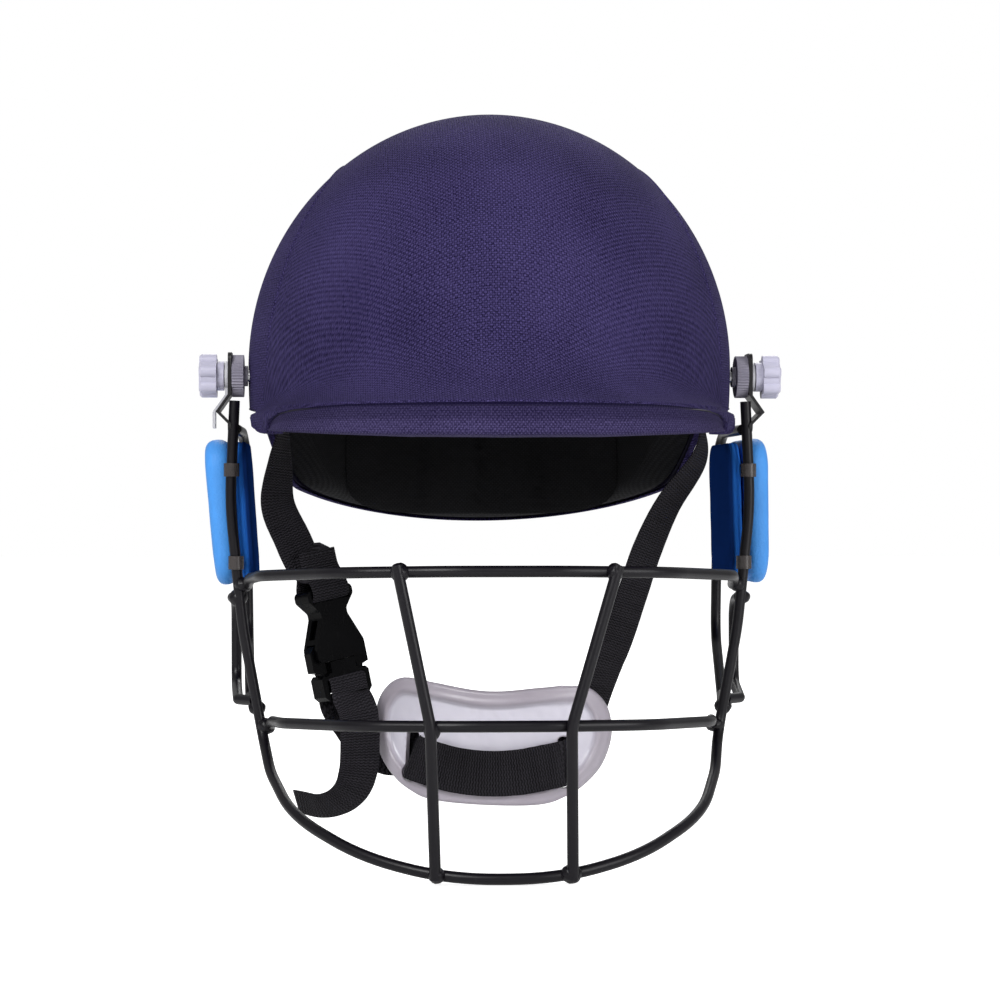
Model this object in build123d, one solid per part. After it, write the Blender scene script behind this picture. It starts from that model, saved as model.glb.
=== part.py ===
from build123d import *
import os
from math import cos, radians, sin, sqrt

# A cricket helmet with its wire face guard, as it sits on a head.
# +Z is up and the face looks along -Y. Left and right are the wearer's: left is +X.
# The origin is the centre of the head ring, the level where the shell is widest.
# All lengths are millimetres.

# Hard shell
shell_half_width = 108.9
shell_front = 120.2
shell_rear = 131.2
shell_crown = 114.4
shell_tuck = 190.0  # lower semi-axis: how slowly the sides draw in below the head ring
shell_wall = 3.0
cloth_thickness = 0.8

# Peak
peak_reach = 144.2  # from the peak's own centre to its front edge
peak_centre_back = 20.0  # the peak's centre lies this far in front of the origin
peak_half_width = 107.6
peak_edge_drop = 22.5
peak_sweep_radius = 77.7  # the hollow sweep from forehead to edge
peak_edge_slope = 18.0  # degrees below level at the edge
peak_middle_slope = 52.0
peak_start_slope = 86.0  # where the sweep meets the forehead
lip_height = 13.2
lip_depth = 34.0
lip_half_width = 97.0
lip_corner_radius = 4.0
lip_setback = 1.2

# Rim line, as drops below the head ring
brow_rim_drop = 27.0
ear_rim_drop = 18.0
side_rim_drop = 52.0
nape_rim_drop = 71.5
ear_cut_front = 32.0
ear_cut_rear = 35.0
ear_cut_run = 13.0
nape_start = 60.0
rim_corner_radius = 9.0

# Inside the shell
liner_thickness = 15.0
liner_recess = 1.6  # the liner's edge sits above the rim
pad_thickness = 8.0
pad_gap = 0.3
brow_pad_height = 36.0
brow_pad_half_width = 62.0
crown_pad_radius = 46.0
rear_pad_height = 62.0
rear_pad_half_width = 66.0
side_pad_length = 62.0
side_pad_height = 44.0
side_pad_thickness = 10.0
pad_corner_radius = 10.0

# Grille pivot: stud, toothed wheel, side plate, tab washer and thumb knob on one axis
pivot_forward = 15.0
pivot_drop = 4.2
stud_radius = 2.5
stud_clearance = 0.05
plate_hole_clearance = 0.5
stud_head_radius = 7.0
stud_head_thickness = 2.0
wall_hole_clearance = 0.3
collar_radius = 4.6
collar_length = 2.3
wheel_radius = 9.5
wheel_thickness = 5.2
wheel_teeth = 44
tooth_depth = 0.55
plate_thickness = 1.6
tab_ring_radius = 6.6
tab_thickness = 1.3
tab_width = 7.5
tab_length = 23.5
left_tab_turn = 100.0  # degrees
right_tab_turn = 0.0
knob_hub_radius = 6.6
knob_hub_length = 3.2
knob_radius = 9.9
knob_thickness = 7.8
knob_lobes = 6
knob_lobe_radius = 2.9
knob_edge = 0.9
knob_skin = 2.6  # plastic left over the end of the stud
knob_gap = 0.5  # play between the tab washer and the nut
stack_gap = 0.15
soft_gap = 1.2  # between pieces of webbing that part
collar_gap = 0.6  # between the wheel's flat collar and the curved cloth
head_depth = 3.4

# Grille wires
wire_radius = 2.4
weld_bite = 0.7  # how deep two welded wires run into each other
butt_reach = wire_radius - weld_bite  # from one wire's axis to an end welded on to it
hoop_drop = 215.2
hoop_reach = 128.0
eye_bar_drop = 89.0
eye_bar_reach = 137.0
mouth_bar_drop = 152.2
mouth_bar_reach = 134.0
bar_end_drop = 9.0  # how far a bar's welded end lies below its middle
side_wire_forward = 20.5
right_top_spacing = 44.1  # each upright's distance from the middle
left_top_spacing = 46.6
right_knee_spacing = 30.4
left_knee_spacing = 27.2
upright_foot_spacing = 28.2
upright_foot_share = 0.965  # of the hoop's reach, where the uprights meet it
stay_back = 58.0
stay_corner = 9.0
stay_tuck = 2.6
stay_knee_drop = 124.0
jaw_loop_back = 26.0
jaw_loop_height = 46.0
jaw_loop_top_drop = 104.0
jaw_loop_offset = 3.6

# Side plate
plate_width = 17.0
plate_top = 10.5  # above the pivot
plate_bend_drop = 8.5
plate_knee_drop = 16.2
plate_heel_drop = 21.6
plate_foot_drop = 25.0
plate_knee_out = 5.4
plate_corner_radius = 3.2

# Ear guard
guard_back = 52.0
guard_height = 66.0
guard_top_drop = 32.0
guard_inner = 108.4
guard_thickness = 11.6
guard_panel_thickness = 6.0
guard_panel_inset = 2.0
guard_corner_radius = 13.0
guard_edge_radius = 4.4
left_guard_lean = -1.5  # degrees
right_guard_lean = 4.0
clip_height_shares = (0.22, 0.85)
clip_reach = 8.0
clip_width = 6.0
clip_thickness = 1.1
rivet_radius = 2.0
rivet_head_radius = 3.6
rivet_head_height = 1.2
rivet_clearance = 0.2
rivet_depth_share = 0.6  # of the pad's thickness

# Chin strap
web_width = 20.0
web_thickness = 1.4
anchor_forward = 34.0
anchor_drop = 12.0
anchor_gap = 0.4
swing_room = 3.0
slot_front_share = 0.75
slot_rear_share = 0.95
sleeve_radius = 6.0
strap_drop = 150.0
# How the buckle side's upper strap runs: across, back in millimetres, and down
right_strap_shares = (
    (-1.0, 0.0, 0.0),
    (-1.0, 0.0, 0.045),
    (-0.988, 0.0, 0.1),
    (-1.004, 0.0, 0.21),
    (-1.015, 0.0, 0.33),
    (-0.95, 0.0, 0.43),
    (-0.885, 0.0, 0.51),
)
right_strap_turns = (-90, -90, -90, -82, -60, -44, -38, -37, -38)
left_strap_shares = (
    (1.0, 0.0, 0.0),
    (1.0, 0.0, 0.045),
    (1.0, 0.0, 0.1),
    (0.98, 0.0, 0.2),
    (0.835, 0.0, 0.333),
    (0.735, 0.0, 0.467),
)
left_strap_turns = (-90, -90, -90, -80, -62, -50, -43)
# The free end below the buckle: across, back in millimetres, and down
tail_shares = (
    (-0.632, -5.0, 0.955),
    (-0.628, -4.5, 1.07),
    (-0.64, -4.0, 1.133),
    (-0.672, -3.0, 1.18),
    (-0.735, -1.0, 1.213),
    (-0.82, 2.0, 1.226),
    (-0.93, 5.0, 1.214),
)
tail_turns = (-38, -36, -32, -30, -32, -38, -46, -52, -56)

# Chin cup
cup_width = 107.0
cup_height = 55.0
cup_wall = 2.6
cup_bend_radius = 80.0
cup_drop = 167.5
cup_forward = 50.0
cup_shift = 10.0
cup_turn = 10.0  # degrees, the cup hangs turned a little to the wearer's right
cup_roll = 2.0
cup_corner_radius = 7.0
cup_rim_width = 7.0
cup_recess = 2.4
cup_pad_thickness = 5.0
cup_pad_half_width = 26.0
cup_pad_height = 34.0
cup_outline_shares = (
    (0.12, 0.84),
    (0.45, 0.92),
    (0.76, 0.96),
    (0.94, 0.68),
    (1.0, 0.22),
    (0.95, -0.24),
    (0.84, -0.56),
    (0.66, -0.82),
    (0.38, -0.97),
)
slot_length = 22.6
slot_drop = 7.6
slot_width = 6.8
slot_angle = 26.0  # degrees round the cup's bend
slot_mid_depth = 3.2
# The strap that runs on from the left strap, through the cup and up to the buckle.
# Places on the chin strap's own shares before and after the cup, and places on the cup
# itself: degrees round its bend, depth behind its front, height above the slots' middle.
cup_lead_shares = (
    (0.664, 0.0, 0.6),
    (0.594, 0.0, 0.733),
    (0.537, 0.5, 0.82),
    (0.479, 3.5, 0.92),
    (0.431, 3.0, 1.007),
    (0.388, 0.8, 1.063),
)
cup_strap_places = (
    (30.5, 8.6, 0.4),
    (27.6, 6.6, 0.0),
    (26.0, 3.2, 0.0),
    (24.2, -0.9, -0.4),
    (20.0, -1.7, -1.6),
    (10.0, -1.7, -4.4),
    (0.0, -1.7, -5.4),
    (-10.0, -1.7, -4.4),
    (-20.0, -1.7, -1.6),
    (-24.2, -0.9, -0.4),
    (-26.0, 3.2, 0.0),
    (-27.6, 6.6, 0.0),
    (-32.0, 9.4, 0.2),
)
cup_slot_rows = (2, 11)  # the rows above beside the two slots, where the strap's runs join
plug_run_shares = (
    (-0.5, 20.3, 1.08),
    (-0.606, 21.8, 1.033),
    (-0.681, 15.0, 0.973),
)
cup_lead_turns = (-42, -42, -42, -42, -40, -32, -20)
plug_run_turns = (5, 15, 27, 36, 38)

# Side-release buckle
buckle_width = 26.5
buckle_waist = 14.4
buckle_thickness = 10.0
socket_length = 32.0
socket_wall = 1.9
socket_corner_radius = 2.4
socket_outline_shares = ((1.0, 0.0), (1.0, 0.2), (0.55, 0.6), (0.55, 0.68), (0.94, 0.86), (0.94, 1.0))
web_bar_depth = 4.2
notch_length = 8.4  # the mouth's open sides, where the presses move
bridge_length = 2.2
bridge_in = 1.2
window_length = 8.0
plug_base_length = 17.0
plug_neck_length = 5.2
plug_neck_half_width = 6.9
plug_thickness = 8.4
plug_slot_shares = (0.5, 0.8)
tongue_width = 5.0
tongue_length = 9.0
buckle_clearance = 0.35
prong_room = 0.8  # between a prong and the socket's inner faces
prong_root = (10.3, -4.6)  # the round root that each prong turns on
prong_root_radius = 1.6
prong_root_gap = 0.2
prong_places = (
    (8.7, -4.6),
    (11.9, -4.6),
    (15.4, -3.6),
    (15.4, 5.0),
    (12.8, 7.6),
    (9.3, 7.8),
    (9.0, 11.0),
    (6.6, 14.8),
    (5.2, 14.8),
    (7.4, 6.0),
)
buckle_lean = 11.5  # degrees off upright, seen from the front
buckle_turn = 38.0  # degrees about its own length

# Working values
overrun = 30.0
unit_sphere = Sphere(1)
axis_z = -pivot_drop
axis_y = -pivot_forward


def mirror_x(shape):
    return mirror(shape, Plane.YZ)


def as_drawn(shape):
    return shape


def largest(shape):
    """The biggest solid of a shape."""
    return max(shape.solids(), key=lambda solid: solid.volume)


def save(node, *shapes):
    """Writes one node's separate solids to its own file."""
    solids = [solid for shape in shapes for solid in shape.solids()]
    export_step(Compound(children=solids), f"parts/{node}.step")
    print(node, len(solids), round(sum(solid.volume for solid in solids), 1))


# Shell form


def dome(grow):
    """The shell's outer form grown by a distance: four ellipsoid quarters that share their rims."""
    half_width = shell_half_width + grow
    quarters = []
    for length, y_side in ((shell_front + grow, -1), (shell_rear + grow, 1)):
        for height, z_side in ((shell_crown + grow, 1), (shell_tuck + grow, -1)):
            corner = Pos(0, y_side, z_side) * Box(2 * 2, 2, 2)
            quarters.append(scale(unit_sphere & corner, by=(half_width, length, height)))
    return quarters[0].fuse(*quarters[1:])


def half_width_at(y, z, grow=0.0):
    """The dome's half width at a place on its side."""
    length = (shell_front if y < 0 else shell_rear) + grow
    height = (shell_crown if z > 0 else shell_tuck) + grow
    left = 1 - (y / length) ** 2 - (z / height) ** 2
    return (shell_half_width + grow) * sqrt(max(left, 0))


def peak_sweep(grow):
    """The peak's upper surface as an arc in radius and height: its start, middle and edge."""
    edge = Vector(peak_reach, 0, -peak_edge_drop)
    slopes = [radians(slope) for slope in (peak_start_slope, peak_middle_slope, peak_edge_slope)]
    outward = [Vector(sin(slope), 0, cos(slope)) for slope in slopes]
    centre = edge + outward[-1] * peak_sweep_radius
    return [centre - direction * (peak_sweep_radius - grow) for direction in outward]


def spun_peak(profile):
    """Turns a profile about the peak's own upright axis, and draws it in to the peak's half width."""
    ring = revolve(profile, Axis.Z, revolution_arc=360)
    ring = scale(ring, by=(peak_half_width / peak_reach, 1, 1))
    front = Pos(0, -peak_reach, 0) * Box(4 * peak_reach, 2 * peak_reach, 4 * peak_reach)
    return Pos(0, -peak_centre_back, 0) * (ring & front)


def peak_plate(low, high):
    """The peak between two offsets from its upper surface, with a blunt edge."""
    top = peak_sweep(high)
    under = peak_sweep(low)
    edge_out = high if high > 0 else 0.0
    tip_top = top[2] + Vector(edge_out, 0, 0)
    tip_under = under[2] + Vector(edge_out, 0, 0)
    outline = Wire(
        [
            *ThreePointArc(*top).edges(),
            *([Line(top[2], tip_top).edge()] if edge_out else []),
            Line(tip_top, tip_under).edge(),
            *([Line(tip_under, under[2]).edge()] if edge_out else []),
            *ThreePointArc(under[2], under[1], under[0]).edges(),
            Line(under[0], top[0]).edge(),
        ]
    )
    return spun_peak(Face(outline))


def below_rim(lift=0.0):
    """Everything under the rim line, seen from the side, raised by a lift."""
    rear = shell_rear + overrun
    slope = (nape_rim_drop - side_rim_drop) / (shell_rear - nape_start)
    line = FilletPolyline(
        (-peak_reach - peak_centre_back - overrun, -brow_rim_drop + lift),
        (-ear_cut_front - ear_cut_run, -brow_rim_drop + lift),
        (-ear_cut_front, -ear_rim_drop + lift),
        (ear_cut_rear, -ear_rim_drop + lift),
        (nape_start, -side_rim_drop + lift),
        (rear, -nape_rim_drop - slope * overrun + lift),
        radius=rim_corner_radius,
    )
    bottom = -2 * shell_tuck
    closing = Polyline(line @ 1, (rear, bottom), ((line @ 0).X, bottom), line @ 0)
    side = make_face(Plane.YZ * (line + closing))
    return extrude(side, amount=2 * shell_half_width, both=True)


def make_shell():
    """The hard shell with its peak, the cloth over it and the foam lip under the peak."""
    inner = dome(-shell_wall)
    under = below_rim()
    bare = dome(0) + (peak_plate(-shell_wall, 0) - dome(-shell_wall / 2))
    covered = dome(cloth_thickness) + (peak_plate(-shell_wall, cloth_thickness) - dome(0))
    shell = bare - inner - under
    cover = covered - bare - inner - under
    return largest(shell), largest(cover)


def make_lip():
    """The padded insert that closes the peak from below and shows as its thick front lip."""
    sweep = peak_sweep(-shell_wall)
    edge = sweep[2] - Vector(lip_setback, 0, pad_gap)
    bottom = -peak_edge_drop - lip_height
    inner = peak_reach - lip_depth
    top_inner = Vector(inner, 0, edge.Z + lip_depth * sin(radians(peak_edge_slope)))
    outline = Polyline(edge, (edge.X, 0, bottom), (inner, 0, bottom), top_inner, edge)
    profile = make_face(outline)
    rounded = [v for v in profile.vertices() if v.Z < bottom + pad_gap]
    profile = fillet(rounded, lip_corner_radius)
    lip = spun_peak(profile)
    sides = Box(2 * lip_half_width, 4 * peak_reach, 4 * peak_reach)
    keep = lip & sides
    keep = keep - dome(pad_gap)
    return largest(keep)


def padded_ring(outside, thickness):
    """The space between two inward offsets of the dome."""
    return dome(-outside) - dome(-outside - thickness)


def make_liner():
    """The thick foam liner, with pockets for the stud heads and the strap anchors."""
    start = shell_wall + pad_gap
    liner = padded_ring(start, liner_thickness) - below_rim(liner_recess)
    pocket_radius = stud_head_radius + pad_gap
    pocket = bar_along_x(pocket_radius, inner_wall_x - head_depth - pad_gap, inner_wall_x + overrun)
    slot_inner = anchor_x - 2 * web_thickness - rivet_head_height - pad_gap
    slot_low = -anchor_drop - 3 * web_width
    slot_high = -anchor_drop + web_width
    slot_front = -anchor_forward - web_width * slot_front_share
    slot_rear = -anchor_forward + web_width * slot_rear_share
    slot = Pos(
        slot_inner + overrun, (slot_front + slot_rear) / 2, (slot_low + slot_high) / 2
    ) * Box(2 * overrun, slot_rear - slot_front, slot_high - slot_low)
    for cut in (pocket, slot):
        liner = liner - cut - mirror_x(cut)
    return largest(liner)


def rounded_block(width, height, depth, radius):
    """A block with rounded corners, lying in XY and standing along Z."""
    return extrude(RectangleRounded(width, height, radius), amount=depth, both=True)


def make_pads():
    """The comfort pads that touch the head, each cut from one layer inside the liner."""
    start = shell_wall + 2 * pad_gap + liner_thickness
    layer = padded_ring(start, pad_thickness)
    thick_layer = padded_ring(start, side_pad_thickness)
    brow_z = -brow_rim_drop + liner_recess + brow_pad_height / 2
    front_block = Plane.XZ * rounded_block(
        2 * brow_pad_half_width, brow_pad_height, shell_front, pad_corner_radius
    )
    front = Pos(0, -shell_front, brow_z) * front_block
    rear_z = -nape_rim_drop + 3 * liner_recess + rear_pad_height / 2
    rear_block = Plane.XZ * rounded_block(
        2 * rear_pad_half_width, rear_pad_height, shell_rear, pad_corner_radius
    )
    rear = Pos(0, shell_rear, rear_z) * rear_block
    crown = Pos(0, 0, shell_crown) * Cylinder(crown_pad_radius, shell_crown)
    side_z = -ear_rim_drop + liner_recess + side_pad_height / 2
    side_block = Plane.YZ * rounded_block(
        side_pad_length, side_pad_height, shell_half_width / 2, pad_corner_radius
    )
    side_y = (ear_cut_rear - ear_cut_front) / 2 + rim_corner_radius
    side = Pos(shell_half_width, side_y, side_z) * side_block
    left = thick_layer & side
    return {
        "brow_pad": layer & front,
        "rear_pad": layer & rear,
        "crown_pad": layer & crown,
        "left_side_pad": left,
        "right_side_pad": mirror_x(left),
    }


# Grille pivot, drawn for the wearer's left side

wall_x = half_width_at(axis_y, axis_z, cloth_thickness)
inner_wall_x = half_width_at(axis_y, axis_z, -shell_wall)
wheel_x = wall_x + collar_length
plate_x = wheel_x + wheel_thickness + stack_gap
tab_x = plate_x + plate_thickness + stack_gap
knob_x = tab_x + tab_thickness + knob_gap
knob_end_x = knob_x + knob_hub_length + knob_thickness
wire_x = plate_x - wire_radius + weld_bite


def bar_along_x(radius, start, end):
    """A round bar on the pivot axis between two places along X."""
    bar = Cylinder(radius, end - start, rotation=(0, 90, 0))
    return Pos((start + end) / 2, axis_y, axis_z) * bar


def make_stud():
    """The fixed stud, with its flat head inside the shell."""
    head = bar_along_x(stud_head_radius, inner_wall_x - head_depth, inner_wall_x + overrun)
    head = head & dome(-shell_wall - stud_clearance)
    shank_start = inner_wall_x - stud_head_thickness
    return head + bar_along_x(stud_radius, shank_start, knob_end_x - knob_skin - stack_gap)


def make_wheel():
    """The toothed spacer wheel that locks the stud, with its collar against the shell."""
    points = []
    for tooth in range(wheel_teeth):
        for share, radius in ((0.0, wheel_radius), (0.5, wheel_radius - tooth_depth)):
            turn = radians(360 * (tooth + share) / wheel_teeth)
            points.append((radius * cos(turn), radius * sin(turn)))
    outline = make_face(Polyline(*points, close=True))
    rim = extrude(outline, amount=wheel_thickness)
    rim = Pos(wheel_x, axis_y, axis_z) * (Rot(0, 90, 0) * rim)
    collar = bar_along_x(collar_radius, wall_x + collar_gap, wheel_x + stack_gap)
    bore = bar_along_x(stud_radius + stud_clearance, wall_x - overrun, wheel_x + overrun)
    return rim + collar - bore


def make_knob():
    """The lobed thumb nut."""
    ring = knob_radius - knob_lobe_radius
    outline = Circle(ring + knob_lobe_radius / 3)
    for lobe in range(knob_lobes):
        turn = radians(360 * (lobe + 0.25) / knob_lobes)
        outline += Pos(ring * cos(turn), ring * sin(turn)) * Circle(knob_lobe_radius)
    grip = extrude(outline, amount=knob_thickness)
    grip = chamfer(grip.faces().sort_by(Axis.Z)[-1].edges(), knob_edge)
    grip = Pos(knob_x + knob_hub_length, axis_y, axis_z) * (Rot(0, 90, 0) * grip)
    hub = bar_along_x(knob_hub_radius, knob_x, knob_x + knob_hub_length)
    bore = bar_along_x(stud_radius + stud_clearance, knob_x - overrun, knob_end_x - knob_skin)
    return grip + hub - bore


def make_tab_washer(turn):
    """A plastic washer whose tail hangs beside the side plate and stands off it at the foot."""
    ring = Circle(tab_ring_radius) - Circle(stud_radius + plate_hole_clearance)
    washer = Rot(0, 90, 0) * extrude(ring, amount=tab_thickness)
    rise = plate_knee_out + stack_gap
    flare = sqrt(tab_ring_radius**2 - (tab_width / 2) ** 2)
    side = Polyline(
        (0, -flare),
        (0, -plate_bend_drop),
        (rise, -plate_knee_drop),
        (rise, -tab_length),
        (rise + tab_thickness, -tab_length),
        (rise + tab_thickness, -plate_knee_drop),
        (tab_thickness, -plate_bend_drop),
        (tab_thickness, -flare),
        close=True,
    )
    tail = extrude(make_face(Plane.XZ * side), amount=tab_width / 2, both=True)
    return Pos(tab_x, axis_y, axis_z) * (Rot(turn, 0, 0) * (washer + tail))


def make_side_plate():
    """The bent sheet that hangs the grille from the stud."""
    profile = Polyline(
        (0, plate_top),
        (0, -plate_bend_drop),
        (plate_knee_out, -plate_knee_drop),
        (0, -plate_heel_drop),
        (0, -plate_foot_drop),
        (plate_thickness, -plate_foot_drop),
        (plate_thickness, -plate_heel_drop),
        (plate_knee_out + plate_thickness, -plate_knee_drop),
        (plate_thickness, -plate_bend_drop),
        (plate_thickness, plate_top),
        close=True,
    )
    sheet = extrude(make_face(Plane.XZ * profile), amount=plate_width / 2, both=True)
    corners = Pos(0, 0, (plate_top - plate_foot_drop) / 2) * (
        Plane.YZ
        * rounded_block(plate_width, plate_top + plate_foot_drop, overrun, plate_corner_radius)
    )
    sheet = sheet & corners
    hole = bar_along_x(stud_radius + plate_hole_clearance, plate_x - overrun, plate_x + overrun)
    return Pos(plate_x, axis_y, axis_z) * sheet - hole


# Grille wires


def bent_wire(points, radii, radius=None):
    """A round wire along straight runs joined by arcs."""
    radius = wire_radius if radius is None else radius
    path = FilletPolyline(*points, radius=radii)
    section = Plane(origin=path @ 0, z_dir=path % 0) * Circle(radius)
    return sweep(section, path=path)


def mirrored_route(half):
    """A route given from one end to the middle, carried on to the other side."""
    return half + [(-x, y, z) for x, y, z in reversed(half)]


hoop_x_shares = (1.003, 1.021, 0.971, 0.893, 0.857, 0.764, 0.511, 0.2)
hoop_reach_shares = (0.0, 0.0, 0.0, 0.0, 0.21, 0.563, 0.837, 1.0)
hoop_drop_shares = (0.072, 0.286, 0.545, 0.77, 0.835, 0.904, 0.966, 1.0)
hoop_bend_shares = (70, 70, 8, 28, 32, 40, 34)


def side_y(share, reach):
    """A place between the side wires and a bar's furthest reach."""
    return -side_wire_forward - share * (reach - side_wire_forward)


def make_hoop(radius):
    """The main wire: down one side, round the chin and up the other side."""
    half = [
        (x * wire_x, side_y(y, hoop_reach), -z * hoop_drop)
        for x, y, z in zip(hoop_x_shares, hoop_reach_shares, hoop_drop_shares)
    ]
    radii = [r * wire_radius for r in hoop_bend_shares]
    return bent_wire(mirrored_route(half), radii + radii[::-1], radius)


def hoop_x_at(drop):
    """The side wire's distance from the middle at a drop, along its straight upper runs."""
    drop_share = drop / hoop_drop
    start = max(sum(drop_share > mark for mark in hoop_drop_shares[:4]) - 1, 0)
    low, high = hoop_drop_shares[start], hoop_drop_shares[start + 1]
    share = (drop_share - low) / (high - low)
    x = hoop_x_shares[start] + share * (hoop_x_shares[start + 1] - hoop_x_shares[start])
    return x * wire_x


bar_x_shares = (1.0, 0.985, 0.93, 0.62, 0.22)
bar_reach_shares = (0.0, 0.12, 0.46, 0.86, 1.0)
bar_rise_shares = (0.0, 0.35, 0.62, 0.9, 1.0)


def make_cross_bar(drop, reach):
    """A bar across the face, from the inside of one side wire to the other."""
    end_x = hoop_x_at(drop + bar_end_drop) - 2 * wire_radius + weld_bite
    half = [
        (x * end_x, side_y(y, reach), -drop - (1 - z) * bar_end_drop)
        for x, y, z in zip(bar_x_shares, bar_reach_shares, bar_rise_shares)
    ]
    radii = [r * wire_radius for r in (5, 11, 18, 24)]
    return bent_wire(mirrored_route(half), radii + radii[::-1])


def bar_front(x, reach, drop):
    """How far forward a cross bar's centre lies at a place across, by its outer runs."""
    end_x = hoop_x_at(drop + bar_end_drop) - 2 * wire_radius + weld_bite
    x_a, x_b = bar_x_shares[3] * end_x, bar_x_shares[4] * end_x
    y_a, y_b = side_y(bar_reach_shares[3], reach), side_y(bar_reach_shares[4], reach)
    share = min(max((x_a - x) / (x_a - x_b), 0), 1)
    return y_a + share * (y_b - y_a)


def make_upright(top_spacing, knee_spacing):
    """An upright in front of the cross bars, with its knee at the mouth bar."""
    step = 2 * wire_radius - weld_bite
    top_y = bar_front(top_spacing, eye_bar_reach, eye_bar_drop) - step
    knee_y = bar_front(knee_spacing, mouth_bar_reach, mouth_bar_drop) - step
    foot_y = side_y(upright_foot_share, hoop_reach) - step
    route = [
        (top_spacing, top_y, -eye_bar_drop + wire_radius),
        (knee_spacing, knee_y, -mouth_bar_drop),
        (upright_foot_spacing, foot_y, -hoop_drop),
    ]
    return bent_wire(route, [9 * wire_radius])


def make_stay():
    """The wire behind the ear guard: back from the side plate, down, and forward to the jaw."""
    top_z = axis_z - plate_foot_drop + wire_radius / 2
    joint_drop = mouth_bar_drop + wire_radius / 2
    route = [
        (wire_x, axis_y + plate_corner_radius / 2, top_z),
        (wire_x, stay_back - stay_corner, top_z),
        (wire_x - 2 * weld_bite, stay_back, top_z - stay_corner),
        (wire_x - stay_tuck, stay_back, -stay_knee_drop),
        (wire_x - stay_tuck - wire_radius, stay_back / 3, -joint_drop + wire_radius),
        (hoop_x_at(joint_drop), butt_reach - side_wire_forward, -joint_drop),
    ]
    return bent_wire(route, [6 * wire_radius, 6 * wire_radius, 8 * wire_radius, 2 * wire_radius])


def make_jaw_loop():
    """The small loop that stands out from the side wire below the ear guard."""
    top, low = -jaw_loop_top_drop, -jaw_loop_top_drop - jaw_loop_height
    step = butt_reach / sqrt(2)
    top_x, low_x = hoop_x_at(-top), hoop_x_at(-low)
    loop_x = top_x + jaw_loop_offset
    near_y = 4 * wire_radius - side_wire_forward
    route = [
        (top_x + step, step - side_wire_forward, top),
        (loop_x, near_y, top),
        (loop_x, jaw_loop_back, top - wire_radius),
        (loop_x, jaw_loop_back, low + 2 * wire_radius),
        (loop_x - wire_radius, near_y, low),
        (low_x + step, step - side_wire_forward, low),
    ]
    return bent_wire(route, [wire_radius, 4 * wire_radius, 4 * wire_radius, wire_radius])


# Ear guard, drawn for the wearer's left side

guard_front_y = -side_wire_forward + wire_radius + clip_thickness + pad_gap
guard_middle_y = (guard_front_y + guard_back) / 2
guard_middle_z = -guard_top_drop - guard_height / 2
guard_length = guard_back - guard_front_y
guard_seam_x = guard_inner + guard_panel_thickness


def guard_slab(start, thickness, inset, edge):
    """A rounded slab of the guard's outline that grows outwards from a place along X."""
    width = guard_length - 2 * inset
    height = guard_height - 2 * inset
    block = extrude(RectangleRounded(width, height, guard_corner_radius), amount=thickness)
    if edge:
        block = fillet(block.faces().sort_by(Axis.Z)[-1].edges(), edge)
    return Pos(start, guard_middle_y, guard_middle_z) * (Plane.YZ * block)


def guard_place(lean):
    """Leans a guard about the middle of its seam. A positive lean carries the top outwards."""
    seam = Pos(guard_seam_x, guard_middle_y, guard_middle_z)
    return seam * Rot(0, lean, 0) * seam.inverse()


def clip_heights():
    """The heights of the two clips on the side wire."""
    return [-guard_top_drop - share * guard_height for share in clip_height_shares]


def rivet_bar(z, radius, start, end):
    """A bar along X through the guard, at a clip's height."""
    bar = Cylinder(radius, end - start, rotation=(0, 90, 0))
    return Pos((start + end) / 2, guard_front_y + clip_reach, z) * bar


def make_guard(lean):
    """One ear guard: outer pad, inner panel, the clips between them and their rivets."""
    place = guard_place(lean)
    seam_gap = clip_thickness + pad_gap
    panel = guard_slab(guard_inner, guard_panel_thickness, guard_panel_inset, 0)
    pad_start = guard_seam_x + seam_gap
    pad = guard_slab(pad_start, guard_thickness, 0, guard_edge_radius)
    wire = make_hoop(wire_radius + stud_clearance)
    clips, rivets = [], []
    tail_start = guard_seam_x + pad_gap / 2
    for z in clip_heights():
        ends = (guard_inner, pad_start + guard_thickness * rivet_depth_share)
        hole = rivet_bar(z, rivet_radius + rivet_clearance, guard_inner - overrun, ends[1] + pad_gap)
        sink = rivet_bar(
            z, rivet_head_radius + rivet_clearance, guard_inner - overrun, guard_inner + rivet_head_height
        )
        panel = panel - hole - sink
        pad = pad - hole
        collar = Pos(hoop_x_at(-z), -side_wire_forward, z) * Cylinder(
            wire_radius + clip_thickness, clip_width
        )
        length = clip_reach + clip_width / 2 + side_wire_forward + guard_front_y
        tail = Pos(
            tail_start + clip_thickness / 2, length / 2 - side_wire_forward, z
        ) * Box(clip_thickness, length, clip_width)
        clips.append(collar + (place * (tail - hole)) - wire)
        head = rivet_bar(z, rivet_head_radius, ends[0], ends[0] + rivet_head_height - rivet_clearance)
        rivets.append(place * (head + rivet_bar(z, rivet_radius, *ends)))
    return place * pad, place * panel, clips, rivets


# Chin strap. The wearer's right side has the buckle.

rim_strap_y = -anchor_forward - web_width / 2 - swing_room
anchor_x = half_width_at(rim_strap_y, -brow_rim_drop, -shell_wall) - anchor_gap - web_thickness


def strap_point(x_share, back, drop_share):
    """A place on the chin strap, from shares of the anchors' half spacing and of the drop."""
    return Vector(x_share * anchor_x, -anchor_forward + back, -anchor_drop - drop_share * strap_drop)


def web_across(along, turn):
    """The direction across a web. A turn of 0 shows its face to the front, 90 its edge."""
    flat = along.cross(Vector(0, -1, 0)).normalized()
    return flat.rotate(Axis((0, 0, 0), tuple(along)), turn)


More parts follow.
